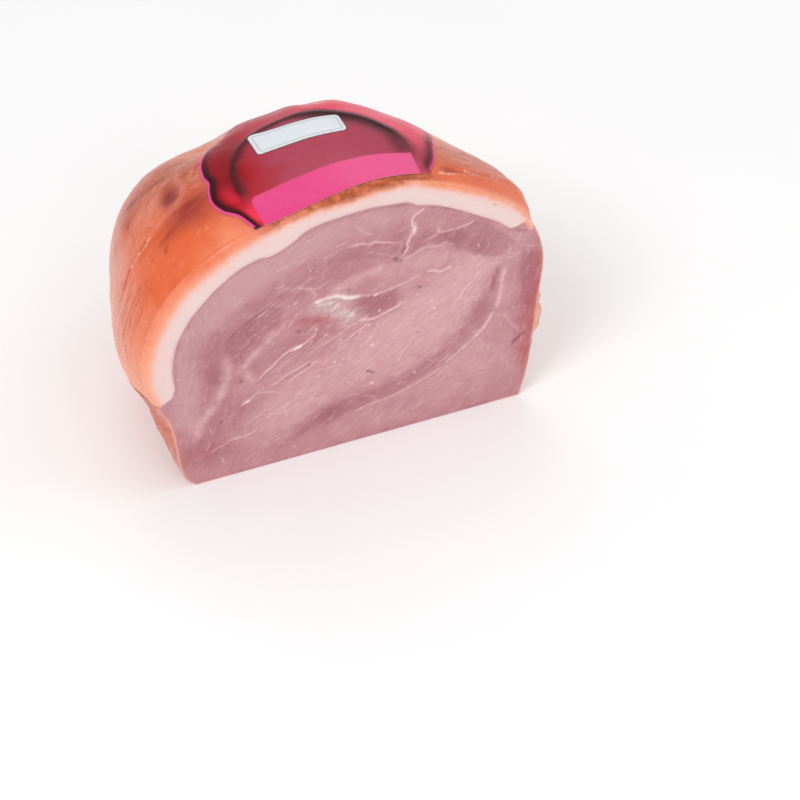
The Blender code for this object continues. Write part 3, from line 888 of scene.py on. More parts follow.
RIND_PINK_PATCHES = [
    (-122, 26, 14, 6, 0, 0.5), (-92, 50, 6, 3, 30, 0.5), (70, 22, 26, 8, 0, 0.45),
    (-122, 50, 17, 11, 0, 0.85), (-142, 34, 16, 10, 0, 0.6), (-104, 68, 16, 8, 0, 0.6),
    (-72, 54, 14, 14, 0, 0.5), (-134, 66, 14, 12, 0, 0.5), (62, 30, 26, 12, 0, 0.85),
    (-84, 76, 20, 8, 0, 0.5), (-92, 62, 14, 6, 0, 0.35), (92, 30, 22, 14, 0, 0.4)
]
RIND_BROWN_PATCHES = [
    (-76, 60, 18, 13, 0, 0.6), (-92, 74, 16, 8, 0, 0.5), (48, 18, 12, 5, 0, 0.35), (78, 34, 20, 14, 0, 0.2),
    (-66, 44, 5, 12, 0, 0.4)
]
RIND_ORANGE_PATCHES = [
    (-106, 57, 4, 5, 0, 0.9), (-102, 46, 5, 4, 0, 0.6), (-92, 18, 24, 12, 0, 0.7),
    (-126, 14.5, 9, 1.6, 0, 0.8), (44, 11, 7, 2, 10, 0.7)
]
RIND_RUST_PATCHES = [
    (-75, 35, 10, 3.6, 0, 0.6), (-80, 46.5, 5, 5, 0, 0.7), (-104, 62, 9, 9, 0, 0.35),
    (-121, 58, 5, 4, 0, 0.3), (-70, 55, 5, 7, 0, 0.35), (-62, 34, 4, 8, 0, 0.3), (-75, 31, 11, 6.5, 0, 0.85),
    (-70, 24, 8, 7, 0, 0.5), (-70, 50, 6, 12, 0, 0.35), (-102, 68, 9, 5, 0, 0.6), (-86, 68, 16, 6, 0, 0.35),
    (-84, 27, 12, 4, 8, 0.35), (-58, 22, 5, 8, 0, 0.4), (-122, 60, 8, 3, 0, 0.3)
]
RIND_DARK_SPOTS = [
    (-74, 35, 9, 2.6, 5, 0.6), (-70, 31, 7, 2, 10, 0.4), (-78, 29.5, 6, 1.2, 5, 0.35),
    (-90, 28, 5, 1.4, 8, 0.55), (-80.5, 48.5, 5.0, 6.0, 0, 0.85), (-81, 46.5, 3.2, 3.2, 0, 0.8),
    (-100, 68.8, 9, 1.3, -18, 0.75), (-81, 64, 6, 1.8, -20, 0.55), (-87, 66, 2.5, 2, 0, 0.4),
    (-101.5, 24.5, 1.3, 0.8, 0, 0.45), (-119, 92, 3, 4, 0, 0.35), (-92, 33, 8, 1.2, 2, 0.3),
    (-73, 74, 10, 2, -12, 0.35), (45.5, 11.8, 4.2, 2.0, 0, 0.65), (61, 18.6, 6, 1.0, 0, 0.35),
    (84, 22, 8, 1.2, 0, 0.3), (53, 30, 5, 1.2, 20, 0.3)
]
RIND_DARK_LINES = [
    (1.0, 0.5, [(-62, 60), (-65, 53), (-68, 49)]),
    (0.8, 0.5, [(-96, 20), (-93, 22), (-91, 26)]),
    (0.8, 0.6, [(-150, 60), (-140, 61.5), (-128, 62), (-116, 62.5), (-104, 62)]),
    (0.7, 0.5, [(-112, 80), (-100, 79), (-88, 80), (-76, 78)]),
    (0.8, 0.35, [(-64, 66), (-70, 70), (-76, 71)]),
]
RIND_PALE_LINES = [
    (1.7, 0.55, [(-100, 37.8), (-92, 38.2), (-84, 39), (-77, 41.5), (-73.5, 47), (-74, 55), (-72, 63)]),
    (1.3, 0.4, [(-86, 43), (-87, 51), (-84, 58), (-77, 61)]),
    (1.6, 0.4, [(-69, 40), (-66, 47), (-67, 55), (-64, 61)]),
    (1.2, 0.35, [(-96, 58), (-90, 60), (-86, 62)]),
    (1.0, 0.45, [(-148, 38), (-138, 40), (-128, 40.5), (-118, 39.5)]),
    (0.9, 0.5, [(-152, 16.5), (-142, 17), (-130, 16.7), (-112, 17)]),
    (1.4, 0.35, [(52, 24), (62, 27), (74, 27), (84, 30)]),
    (1.5, 0.45, [(-104, 44), (-97, 46), (-91, 51), (-87, 57)]),
    (1.2, 0.4, [(-112, 48), (-105, 52), (-98, 55), (-90, 66)]),
    (1.0, 0.4, [(-80, 58), (-74, 63), (-70, 70)]),
    (1.3, 0.35, [(50, 33), (60, 36), (70, 37)]),
    (1.0, 0.4, [(48, 18), (57, 20), (68, 22)]),
]
# Rows of tiny painted glints along a crease: first place, last place, number
PAINTED_GLINT_ROWS = [
    ((-114, 35.0), (-97.5, 35.9), 11), ((38.5, 8.0), (46.5, 9.6), 7), ((56, 12.4), (63, 12.8), 4),
    ((73, 14.2), (76, 14.3), 2)
]
PAINTED_GLINT_SEED = 5
# Creases in the glaze, painted darker as shade, with a painted highlight on their raised lips: width, depth
# and points
CREASES = [
    (0.75, 1.0, [(-136, 34.5), (-128, 34), (-120, 34), (-112, 35), (-104, 35.8), (-96, 36.2)]),
    (0.7, 0.55, [(-142, 25), (-135, 25.5), (-128, 26.5), (-120, 27)]),
    (0.7, 0.6, [(-146, 20), (-138, 21), (-128, 21.3), (-118, 20.8), (-110, 21.2)]),
    (0.6, 0.5, [(-138, 17.5), (-130, 18.3), (-122, 18), (-113, 18.6)]),
    (0.7, 0.4, [(-135, 13), (-128, 12.6), (-120, 13)]),
    (0.7, 0.5, [(-137, 39.5), (-130, 38.4), (-123, 38)]),
    (0.8, 0.6, [(-107, 59), (-106, 53), (-106, 46), (-107, 40)]),
    (0.7, 0.45, [(-88, 38.5), (-80, 39.5), (-70, 39), (-64, 40)]),
    (0.6, 0.4, [(-158, 14), (-150, 16), (-143, 15.6)]),
    (0.7, 0.55, [(38, 8.2), (42, 9), (47, 10.4), (55, 12), (64, 13.2), (74, 14), (84, 14.2), (93, 13)]),
    (0.6, 0.35, [(50, 22), (58, 24), (66, 23)]),
]
LIP_SHIFT = np.array([0, 1.3])
# Each dent is x, y, wide, high, depth
DENTS = [
    (-81, 49, 4.2, 5.6, 1.5), (-62, 88, 16, 17, 3.0), (-66, 75, 12, 12, 1.7), (-54, 84, 9, 13, 2.5),
    (-18, 87, 10, 15, 0.9), (3, 84, 10, 13, 2.8), (27, 78, 12, 13, 0.5), (42, 64, 16, 16, 1.7),
    (70, 42, 20, 16, 1.3), (92, 7, 7, 12, -2.0), (-75, 36, 8, 3.5, 0.7), (-92, 55, 7, 9, 0.6),
    (46, 12, 5, 3, 0.6), (78, 24, 9, 7, 0.5), (-118, 58, 10, 8, -0.8), (-70, 58, 7, 6, -0.6)
]


def bowed(share, bow):
    """How far a line bows out between its ends."""
    return bow * 4 * share * (1 - share)


def label_edge():
    """The label's outline as one closed line."""
    left, right = (smooth_line(side, 8)[1] for side in (LABEL_LEFT, LABEL_RIGHT))
    share = np.linspace(0, 1, LABEL_END_SAMPLES)[1:-1, None]
    back, front = between(left[-1], right[-1], share), between(right[0], left[0], share)
    back[:, 1] += bowed(share[:, 0], LABEL_BACK_BOW)
    front[:, 1] -= bowed(share[:, 0], LABEL_FRONT_BOW)
    return np.vstack([left, back, right[::-1], front, left[:1]])


LABEL_OUTLINE = label_edge()


def front_band(places):
    """The browned band between the cut and the label."""
    x, y = places[:, 0], places[:, 1]
    return ease(x, -58, -46) * (1 - ease(x, 26, 42)) * (1 - ease(y, 4, 9))


def rind_speckle(places):
    """Where the rind is granular and brown."""
    sides = [blob(places, -80, 68, 28, 16), 0.7 * blob(places, 66, 28, 34, 15)]
    return np.max([*sides, front_band(places)], axis=0)


def rind_relief(places, points):
    """Outward height of the rind, in millimetres, with its creases and their raised lips."""
    q = places + 0.6 * warped(places, 5.0, 71)
    ridges = stretched(q[:, 0] / 16, q[:, 1] / 3.2, 79)
    wrinkled = blob(places, -134, 26, 26, 18) + 0.8 * blob(places, -75, 55, 26, 20)
    wrinkled = wrinkled + 0.7 * blob(places, 75, 22, 32, 14) + 0.35 * ease(places[:, 1], 85, 110)
    grain = 0.10 * noise(points, 2.2, 81) * (0.35 + unit(rind_speckle(places)))
    crease = drawn(q, CREASES, 30, 0.25)
    lips = drawn(q + LIP_SHIFT, CREASES, 30, 0.2, 1.3, 0.5)
    broad = 0.9 * layered(points, 34.0, 73, 2) - sum(depth * blob(q, *dent) for *dent, depth in DENTS)
    fine = 0.38 * layered(points, 11.0, 75, 2) + 0.42 * ridges * unit(wrinkled) + grain
    fine = (fine - 0.85 * crease + 0.5 * lips) * (1 - 0.85 * region(places, LABEL_OUTLINE, -1.0, 3.0))
    return (broad + fine) * ease(places[:, 1], 0, 7), crease, lips


def painted_glints(places):
    """Rows of tiny glints, painted into the rind's colour as highlights."""
    random = np.random.default_rng(PAINTED_GLINT_SEED)
    painted_spots = np.zeros(len(places))
    for first, last, count in PAINTED_GLINT_ROWS:
        for share in np.linspace(0, 1, count):
            x, y = between(np.array(first), np.array(last), share)
            size, shine = random.uniform(0.35, 0.6), random.uniform(0.5, 1.0)
            spot = blob(places, x, y + random.normal(0, 0.35), 1.5 * size, size, 10)
            painted_spots = np.maximum(painted_spots, shine * spot)
    return painted_spots


def rind_tint(places, points, crease, lips):
    """Colour of the rind, with painted glints, painted shade in the creases and a painted highlight on their
    lips.
    """
    x, y = places[:, 0], places[:, 1]
    q = places + 2.0 * warped(places, 9.0, 83, 2)
    fine = places + 0.8 * warped(places, 2.6, 86)
    mottle, speck = layered(points, 15.0, 85), layered(points, 2.6, 88, 2)
    streaky = stretched(x / 5.0, y, 92, 1.8, 2)
    wrinkled = unit(blob(places, -134, 26, 26, 18) + blob(places, -78, 56, 28, 20))
    back, grainy, front = ease(y, 78, 100), rind_speckle(places), front_band(places)
    dark = patched(fine, RIND_DARK_SPOTS, drawn(fine, RIND_DARK_LINES, 50, 0.5))
    low = ease(-x, 100, 160)
    return painted(
        RIND_ORANGE, (RIND_WARM, 0.30 + 0.9 * mottle),
        # Paler peach low on the far left side: partly fat showing through thin rind, partly painted light
        (RIND_PEACH, 0.85 * ease(-x, 118, 165) * (1 - ease(y, 60, 95))),
        (RIND_WARM, 0.8 * ease(x, 60, 110)),
        (RIND_PINK, patched(q, RIND_PINK_PATCHES)), (RIND_BROWN, patched(q, RIND_BROWN_PATCHES)),
        (RIND_ORANGE, patched(q, RIND_ORANGE_PATCHES)), (RIND_RUST, patched(q, RIND_RUST_PATCHES)),
        (RIND_BROWN, back * np.clip(0.30 + 1.1 * mottle, 0, 0.8)),
        (RIND_PINK, back * np.clip(0.1 - 1.2 * layered(points, 22.0, 91, 2), 0, 0.7)),
        (RIND_BROWN, 0.45 * grainy + 0.5 * grainy * unit(2 * speck)),
        (RIND_PINK, 0.5 * grainy * unit(-2 * speck)), (RIND_UMBER, 0.7 * grainy * ease(speck, 0.05, 0.45)),
        (RIND_UMBER, front * unit(0.64 + 1.3 * speck + 0.5 * mottle)),
        (RIND_ORANGE, front * np.clip(-0.1 - 1.2 * speck, 0, 0.7)),
        (RIND_PEACH, 0.6 * wrinkled * unit(1.6 * streaky)),
        (RIND_BROWN, 0.65 * wrinkled * unit(-1.8 * streaky)),
        # The dark crease coat is painted shade in the creases, and the pale coat on their raised lips a
        # painted highlight
        (RIND_PINK, drawn(fine, RIND_PALE_LINES, 60, 0.5)), (RIND_DARK, dark), (RIND_DARK, 0.6 * crease),
        # The glint coat paints tiny highlights into the colour
        (RIND_PEACH, 0.35 * lips), (RIND_PAINTED_GLINT, painted_glints(places)),
        (RIND_STAIN, 0.55 * blob(q, -45, 7, 8, 6)),
        (RIND_WARM, 0.6 * low * bell(y + 0.8 * speck, 5.0 + 5.0 * low)))


def towards_fat(tint, depth, s, points):
    """Blends the rind's colour into peach and pink near the cut. depth is below 0 on the rind's outside."""
    place = s - TOP
    left, right = 1 - ease(place, -60, -44), ease(place, 10, 40)
    past = depth - np.interp(place, PROFILE[:, 0], PROFILE[:, 2])
    past = past + (0.8 + 0.5 * (1 - left)) * layered(points, 2.4, 95, 2)
    past = past + 0.7 * stretched(s, 0 * s, 96, 6.0, 2)
    start = -4.0 - 3.5 * left - 1.0 * (1 - ease(place, -100, -76)) - 3.2 * right
    pink = ease(past, -2.0 - 0.6 * left, 1.6 + 0.8 * left)
    tint = painted(tint, (FAT_PEACH, 0.95 * ease(past, start, 0.2)), (FAT_PINK, pink))
    return tint, ease(past, 0.5, 3.5 + 1.5 * left)


def fat_tint(depth, inward, s, points, outer):
    """Colour across the cut edge of the cap, from the rind through peach and pink to white fat.

    depth is measured from the outside, and inward from the lean.
    """
    tint, white = towards_fat(outer, depth, s, points)
    cloud, wavy = layered(points, 14.0, 98, 2), noise(points, 5.0, 99)
    past_end = ease(s - TOP + 0.09 * (depth - 5) ** 2 + 0.8 * wavy, 91.6, 93.4)
    return painted(
        tint, (FAT_WHITE, white), (FAT_PINK, 0.6 * white * unit(1.8 * cloud)),
        (FAT_CREAM, 0.6 * white * unit(-1.8 * cloud)),
        (FAT_INNER, 0.85 * (1 - ease(inward + 0.6 * wavy, -0.5, 1.9))),
        (RIND_PEACH, past_end * ease(depth, 0.5, 2.5)), (LEAN, past_end * ease(depth + wavy, 2.2, 4.6)),
        (RIND_UMBER, 0.7 * blob(points[:, [0, 2]], 68.3, 130.2, 0.8, 0.5, -30)))


def sink(inward):
    """How far the rind sinks where it rounds off towards the cap's edge."""
    share = unit(1 - inward / CAP_END_ROUND)
    return CAP_END_ROUND * (1 - np.sqrt(1 - share**2))


def cap_floor(s, u, end):
    """Depth of the cap's hidden inner face."""
    least = sink(cap_edge_distance(s, u, end)) + CAP_LEAST
    return np.maximum(bed_depth(s, u, end) - CAP_GAP, least)


def make_cap(material):
    """The fat cap: the rind, its rounded edge, the white fat on the cut and its hidden inner face."""
    line = np.linspace(CAP_LEFT + 0.01, CAP_RIGHT - 0.01, CAP_SAMPLES)
    run = run_along(cut_boundary(line)) + run_along(surface(line, 0 * line))
    rows = np.interp(np.linspace(0, run[-1], CAP_ROWS), run, line)
    ends = back_end(rows)[:, None]

    # The front: across the fat on the cut, then round its outer edge
    s = rows[:, None] * np.ones(CAP_FRONT + CAP_ROUND_STEPS)
    lowest = cap_floor(s, 0 * s, np.ones_like(s))
    highest = sink(np.minimum(s - CAP_LEFT, CAP_RIGHT - s))
    rounding = between(CUT_ROUND_RIGHT, CUT_ROUND_LEFT, 1 - ease(s - TOP, -62, -40))
    edge_round = np.minimum(rounding, 0.6 * (lowest - highest))
    across = np.r_[np.linspace(0, 1, CAP_FRONT), np.ones(CAP_ROUND_STEPS)]
    turn = np.r_[np.zeros(CAP_FRONT), np.linspace(0, math.pi / 2, CAP_ROUND_STEPS + 1)[1:]]
    depth = lowest + (highest + edge_round - lowest) * across - edge_round * np.sin(turn)
    y = edge_round * (1 - np.cos(turn))
    u_front = u_at(y)
    front = raised(s, u_front, -depth).reshape(-1, 3)
    front_number = np.arange(s.size).reshape(s.shape)
    inward, depth, s_front = (lowest - depth).ravel(), depth.ravel(), s.ravel()
    none = np.zeros(s.size)
    tint_front = rind_tint(np.stack([s_front - TOP, y.ravel()], -1), front, none, none)
    tint_front = fat_tint(depth, inward, s_front, front, tint_front)
    gloss_front = ease(-depth, -2.2, -0.3)
    front[:, 1] -= 0.14 * layered(front, 9.0, 97, 2) * ease(depth, 2, 5)

    # The rind
    q = np.linspace(0, 1, CAP_OUTER + 1)[1:]
    u = u_front[:, -1:] + (ends - u_front[:, -1:]) * (0.74 * q + 0.26 * q**2)
    s = rows[:, None] * np.ones(CAP_OUTER)
    inward = cap_edge_distance(s, u, ends)
    base = surface(s, u)
    flat_base = base.reshape(-1, 3)
    places = np.stack([s - TOP, y_at(u)], -1).reshape(-1, 2)
    relief, crease, lips = rind_relief(places, flat_base)
    relief = (relief * ease(inward.ravel(), 0, 3.0)).reshape(s.shape) - sink(inward)
    rind = (base + normal(s, u) * relief[..., None]).reshape(-1, 3)
    tint = rind_tint(places, flat_base, crease, lips)
    # On the left shoulder the rind's side takes the fat's peach and pink for about 8 mm back from the cut.
    # This is partly fat showing through at the edge and partly painted light: the side is painted paler to
    # even out its brightness with the more strongly lit front.
    shoulder = (1 - ease(places[:, 0], -60, -47)) * ease(places[:, 0], -100, -76)
    depth = between(0.8 * ease(places[:, 0], 10, 40) - places[:, 1], 2.0, shoulder)
    at_cut = towards_fat(tint, depth, s.ravel(), flat_base)[0]
    fade = np.exp(-np.maximum(places[:, 1] - 1.5, 0) / 8.0)
    lip = 1 - ease(inward.ravel(), 0, 5)
    tint = painted(tint, (at_cut, 1 - shoulder * (1 - fade)), (RIND_PEACH, 0.5 * lip))
    rind_number = len(front) + np.arange(s.size).reshape(s.shape)

    # The hidden inner face
    u = ends * np.linspace(0, 1, CAP_INNER + 1)[1:]
    s = rows[:, None] * np.ones(CAP_INNER)
    inner = raised(s, u, -cap_floor(s, u, ends)).reshape(-1, 3)
    inner_number = len(front) + len(rind) + np.arange(s.size).reshape(s.shape)

    outer_index = np.hstack([front_number, rind_number])
    inner_index = np.hstack([front_number[:, :1], inner_number])
    faces = grid_faces(outer_index) + grid_faces(inner_index, turned=True)
    faces += grid_faces(np.stack([outer_index[:, -1], inner_index[:, -1]], 1))
    for row in (0, -1):
        faces += zipped(outer_index[row].tolist(), inner_index[row].tolist())
    tints = np.vstack([tint_front, tint, np.tile(FAT_WHITE, (len(inner), 1))])
    none = np.zeros(len(inner))
    gloss = np.r_[gloss_front, np.ones(len(rind)), none]
    grain = np.r_[np.zeros(len(front)), rind_speckle(places), none]
    make_piece("fat_cap_and_rind", "fat_cap", np.vstack([front, rind, inner]), faces,
               tints, {"gloss": gloss, "grain": grain}, material)


# The label

FILM_GLOSS = 0.014
FILM_CRIMSON = colour(172, 74, 92, FILM_GLOSS)
FILM_RED = colour(170, 33, 42, FILM_GLOSS)
# Red of a highlight painted on the film
FILM_HIGHLIGHT_RED = colour(240, 60, 84, FILM_GLOSS)
FILM_ROSE = colour(234, 90, 112, FILM_GLOSS)
# Colour of a painted reflection: the soft veil of light on the lower right of the film's ring
FILM_REFLECTED_MAUVE = colour(166, 66, 84, FILM_GLOSS)
# Colour of a painted sheen on the film's ring
FILM_SHEEN = colour(246, 104, 126, FILM_GLOSS)
FILM_BOWL = colour(140, 28, 38, FILM_GLOSS)
FILM_RUSTY = colour(134, 28, 40, FILM_GLOSS)
FILM_FAR_RED = colour(180, 24, 56, 0.03)
# Colour of a painted highlight band across the back of the film
FILM_FAR_HIGHLIGHT = colour(238, 50, 84, 0.03)
FILM_DARK = colour(54, 16, 34, 0.01)
FILM_EDGE = colour(236, 84, 150, FILM_GLOSS)
FILM_RIBBON = colour(224, 75, 131, FILM_GLOSS)
FILM_RIBBON_PALE = colour(229, 97, 144, FILM_GLOSS)
FILM_PANEL = colour(222, 226, 230, FILM_GLOSS)
FILM_PANEL_LINE = colour(120, 110, 118)
INNER_CONTOUR = [
    (-54, 3), (-53, 12), (-52, 22), (-52, 33), (-50, 43), (-46, 51), (-40, 58), (-29, 63), (-14, 64),
    (-3, 60), (6, 55), (15, 49.5), (22.5, 43.5), (28.5, 36), (30, 26), (28.5, 16), (26, 7)
]
CONTOUR_CLOSE = (-14, -9)
LABEL_FRONT = [(-54, 1.8), (-29, 3.4), (15, 4.4), (33, 7.0)]
RIBBON_TOP = [(-53, 17), (-50, 18.6), (-34, 19.7), (-14, 19.4), (1, 18.6), (17, 18.9), (29, 19.5)]
PANEL = [(-38.2, 61.0), (-37.4, 43.5), (4.4, 38.6), (5.6, 53.0)]
PANEL_ROUND = 2.2


def panel_distance(places):
    """Distance inside the pale panel's outline, below 0 outside."""
    inward, rounded = [], []
    corners = np.array(PANEL)
    for a, b, c in zip(np.roll(corners, 1, axis=0), corners, np.roll(corners, -1, axis=0)):
        before, after = (a - b) / np.linalg.norm(a - b), (c - b) / np.linalg.norm(c - b)
        inward.append((places - b) @ np.array([-after[1], after[0]]))
        apart = places - b - (before + after) * PANEL_ROUND
        outside = ((apart @ before) < 0) & ((apart @ after) < 0)
        rounded.append(np.where(outside, PANEL_ROUND - np.linalg.norm(apart, axis=1), FAR))
    return np.min([*inward, *rounded], axis=0)


def label_tint(places):
    """Colour of the film: a rim, a dark contour, a crimson field, a ribbon and a plain panel, with painted
    highlights, sheen, reflection and shade.
    """
    x, y = places[:, 0], places[:, 1]
    edge = line_distance(places, LABEL_OUTLINE)[0]
    contour = line_distance(places, smooth_line(INNER_CONTOUR, 8)[1])[0]
    side = line_distance(places, smooth_line(LABEL_LEFT, 8)[1])[0]
    front, top = (y - np.interp(x, *zip(*line)) for line in (LABEL_FRONT, RIBBON_TOP))
    wave = layered(places, 13.0, 105, 2)
    left, right, back = 1 - ease(x, -52, -22), ease(x, 0, 22), ease(y, 44, 66)
    middle, right_back, far = ease(x, -34, 4), ease(x, -22, 0), ease(x, -16, 4)
    inside = within(places, np.vstack([INNER_CONTOUR, CONTOUR_CLOSE]))
    ring = ~inside * ease(contour, 0, 3)
    # A painted sheen on the ring's right and back
    sheen = bell(contour - 5.0, 3.0) * ~inside * ease(x, -4, 10) * ease(y, 30, 46)
    bowl = left * bell(contour - 4.0, 3.4) * inside * ease(y, 20, 30)
    reach = 4.4 + 1.6 * ease(y, 12, 22) - 0.6 * ease(y, 36, 46)
    rusty = left * ring * ease(y, 20, 34) * (1 - ease(y, 66, 78))
    # Painted shade in a wide soft band inside the film's left edge, where it folds over the side
    painted_left_shade = (1 - ease(side + 0.5 * wave, 0.45 * reach, reach)) * (0.95 - 0.45 * back) * (x < 0)
    # A painted red highlight near the lower left, and a fainter painted highlight band inside the left edge
    painted_highlight = bell(np.hypot(1.4 * (x + 51.5), 0.8 * (y - 9)), 6.5) * ease(side, 2, 4.5)
    painted_highlight = np.maximum(painted_highlight, 0.45 * bell(side - 8.5, 2.6) * (x < -40) * (1 - ease(y, 22, 36)))
    shade = ease(x, 28, 34) * (1 - 0.75 * ease(y, 34, 52)) * bell(edge - 3.0, 2.4)
    width = np.where(inside, 3.2 + 5.2 * right_back, 1.9 + 2.1 * right_back)
    strength = 0.84 + 0.13 * right_back - 0.40 * ease(x, 22, 30) * (1 - ease(y, 24, 42))
    inner = np.exp(-((np.maximum(contour + 0.4 * wave, 0) / width) ** 2.6)) * strength * ease(y, 12, 26)
    ends = ease(x, -50.5 - 0.09 * y, -49.5 - 0.09 * y) * (1 - ease(x, 26.4 + 0.08 * y, 27.2 + 0.08 * y))
    round_end = ease(np.hypot(np.clip(-45 - x, 0, 9), np.clip(top + 4, 0, 9)), 4.6, 5.2)
    ribbon = painted(FILM_RIBBON, (FILM_RIBBON_PALE, ease(x, -30, 18)))
    inward = panel_distance(places)
    rim_width = 0.8 + 0.9 * ease(y, 50, 72)
    rim = (1 - ease(edge, rim_width, 1.6 * rim_width)) * ease(front, 0.6, 2.0)
    tint = painted(
        FILM_CRIMSON, (FILM_RED, left * (1 - 0.6 * ease(y, 34, 62)) + 0.3 * wave),
        (FILM_ROSE, ring * middle * (0.35 + 0.65 * ease(y, 12, 46))),
        # The mauve on the ring's lower right is a painted reflection
        (FILM_REFLECTED_MAUVE, 0.7 * ring * ease(x, 26, 34) * (1 - ease(y, 14, 32))),
        # The sheen coat is a painted sheen
        (FILM_ROSE, 0.4 * ring * back * (1 - middle)), (FILM_SHEEN, 0.8 * sheen), (FILM_BOWL, 0.45 * bowl),
        (FILM_RUSTY, 0.8 * rusty), (FILM_FAR_RED, 0.7 * ease(y, 58, 78) * (1 - 0.6 * far)),
        # The bright band at the back is a painted highlight, and the dark band inside the left edge painted
        # shade
        (FILM_FAR_HIGHLIGHT, 0.75 * ease(y, 56, 72) * far), (FILM_DARK, painted_left_shade),
        # The bright red near the lower left is a painted highlight, and the dark band along the right edge
        # painted shade
        (FILM_HIGHLIGHT_RED, 0.95 * painted_highlight), (FILM_DARK, 0.75 * shade), (FILM_DARK, inner),
        (ribbon, (1 - ease(top, -0.4, 0.4)) * ends * (1 - round_end)),
        (FILM_DARK, 0.85 * ease(inward, -0.9, -0.5)), (FILM_PANEL, ease(inward, -0.35, 0.15)),
        (FILM_PANEL_LINE, 0.55 * bell(inward - 1.7, 0.28) * (inward > 0)),
        (FILM_EDGE, 0.95 * rim * np.maximum(left, 0.75 * right + 0.35 * back)))
    return tint, edge, contour


def make_label(material):
    """The film, a thin closed skin that follows the rind."""
    share = np.linspace(0, 1, LABEL_ROWS)
    edges = []
    for points in (LABEL_LEFT, LABEL_RIGHT):
        along, line = smooth_line(points)
        edges.append(np.stack([np.interp(share * along[-1], along, line[:, k]) for k in range(2)], -1))
    share = share[:, None]
    across = np.linspace(0, 1, LABEL_COLUMNS)[None]
    place = between(edges[0][:, None], edges[1][:, None], across[..., None])
    place[..., 1] += bowed(across, LABEL_BACK_BOW) * share**2
    place[..., 1] -= bowed(across, LABEL_FRONT_BOW) * (1 - share) ** 2
    places = place.reshape(-1, 2)
    s, u = places[:, 0] + TOP, u_at(places[:, 1])
    base, facing = surface(s, u), normal(s, u)
    tint, edge, contour = label_tint(places)
    ribs = bell(contour, 2.2) * ease(places[:, 1], 10, 24)
    film = 0.10 * layered(base, 9.0, 101, 2) + 0.16
    height = rind_relief(places, base)[0] + LABEL_GAP + film * ease(edge, 0, 4)
    height = height + 0.35 * ribs * ease(edge, 0.5, 3)
    thickness = LABEL_THICKNESS * (0.45 + 0.55 * ease(edge, 0, 0.9))
    outer = base + facing * (height + thickness)[:, None]
    number = np.arange(len(places)).reshape(LABEL_ROWS, LABEL_COLUMNS)
    step = LABEL_UNDER_STEP
    kept = number[::step, ::step]
    inner = (base + facing * height[:, None])[kept.ravel()]
    below = len(places) + np.arange(kept.size).reshape(kept.shape)
    faces = grid_faces(number) + grid_faces(below, turned=True)
    rim, under = around(number).tolist(), around(below).tolist()
    for k in range(len(under) - 1):
        faces.append([under[k], under[k + 1], *rim[step * k:step * k + step + 1][::-1]])
    tints = np.vstack([tint, np.tile(FILM_PANEL, (len(inner), 1))])
    make_piece("label_film", "label", np.vstack([outer, inner]), faces, tints, {}, material)


# Materials

class Nodes:
    """Short calls for a material's nodes. An input is a number, a colour or another node's output."""

    def __init__(self, name):
        self.material = bpy.data.materials.new(name)
        self.material.use_nodes = True
        self.tree = self.material.node_tree

    def put(self, socket, value):
        if isinstance(value, bpy.types.NodeSocket):
            self.tree.links.new(value, socket)
        else:
            socket.default_value = (*value, 1.0) if socket.type == "RGBA" else value

    def add(self, kind, inputs=(), **settings):
        """Adds a node, fills its inputs and gives its outputs."""
        node = self.tree.nodes.new("ShaderNode" + kind)
        for key, value in settings.items():
            setattr(node, key, value)
        for key, value in dict(inputs).items():
            self.put(node.inputs[key], value)
        return node.outputs

    def attribute(self, name, output="Fac"):
        return self.add("Attribute", attribute_name=name)[output]

    def veins(self, scale, width, warp):
        """Thin lines between cells of about 1/scale metres, bent by a noise of this many metres."""
        place = self.add("TexCoord")["Object"]
        bend = self.add("TexNoise", {"Scale": 0.6 * scale, "Vector": place})["Color"]
        moved = self.add("VectorMath", {0: bend, 1: (2 * warp,) * 3, 2: place}, operation="MULTIPLY_ADD")
        cells = self.add("TexVoronoi", {"Scale": scale, "Vector": moved["Vector"]},
                         feature="DISTANCE_TO_EDGE")
        return self.remap(cells["Distance"], width, 0.0)

    def noise(self, scale, detail=3.0, rough=0.5, stretch=None):
        """Noise over the object's own coordinates, in features of about 1/scale metres.

        stretch gives a turn about Y and how many times longer the features are that way.
        """
        place = self.add("TexCoord")["Object"]
        if stretch:
            turned = {"Vector": place, "Rotation": (0, stretch[0], 0), "Scale": (stretch[1], 1, 1)}
            place = self.add("Mapping", turned, vector_type="TEXTURE")["Vector"]
        return self.add("TexNoise", {"Vector": place, "Scale": scale, "Detail": detail,
                                     "Roughness": rough})["Fac"]

    def remap(self, value, low, high, to_low=0.0, to_high=1.0):
        ends = {"Value": value, "From Min": low, "From Max": high, "To Min": to_low, "To Max": to_high}
        return self.add("MapRange", ends, interpolation_type="SMOOTHSTEP")["Result"]

    def math(self, operation, first, second):
        return self.add("Math", {0: first, 1: second}, operation=operation)["Value"]

    def plus(self, first, second):
        return self.math("ADD", first, second)

    def times(self, first, second):
        return self.math("MULTIPLY", first, second)

    def less(self, first, second):
        return self.math("SUBTRACT", first, second)

    def mix(self, share, first, second):
        """A mix of two colours, through the colour sockets among the node's sockets of all types."""
        return self.add("Mix", {0: share, 6: first, 7: second}, data_type="RGBA")[2]

    def bump(self, height, distance, strength):
        return self.add("Bump", {"Height": height, "Distance": distance, "Strength": strength})["Normal"]

    def finish(self, base, roughness, bump, **constants):
        sockets = self.tree.nodes["Principled BSDF"].inputs
        values = {"Base Color": base, "Roughness": roughness, "Normal": self.bump(*bump), **constants}
        for key, value in values.items():
            self.put(sockets[key.replace("_", " ")], value)
        return self.material


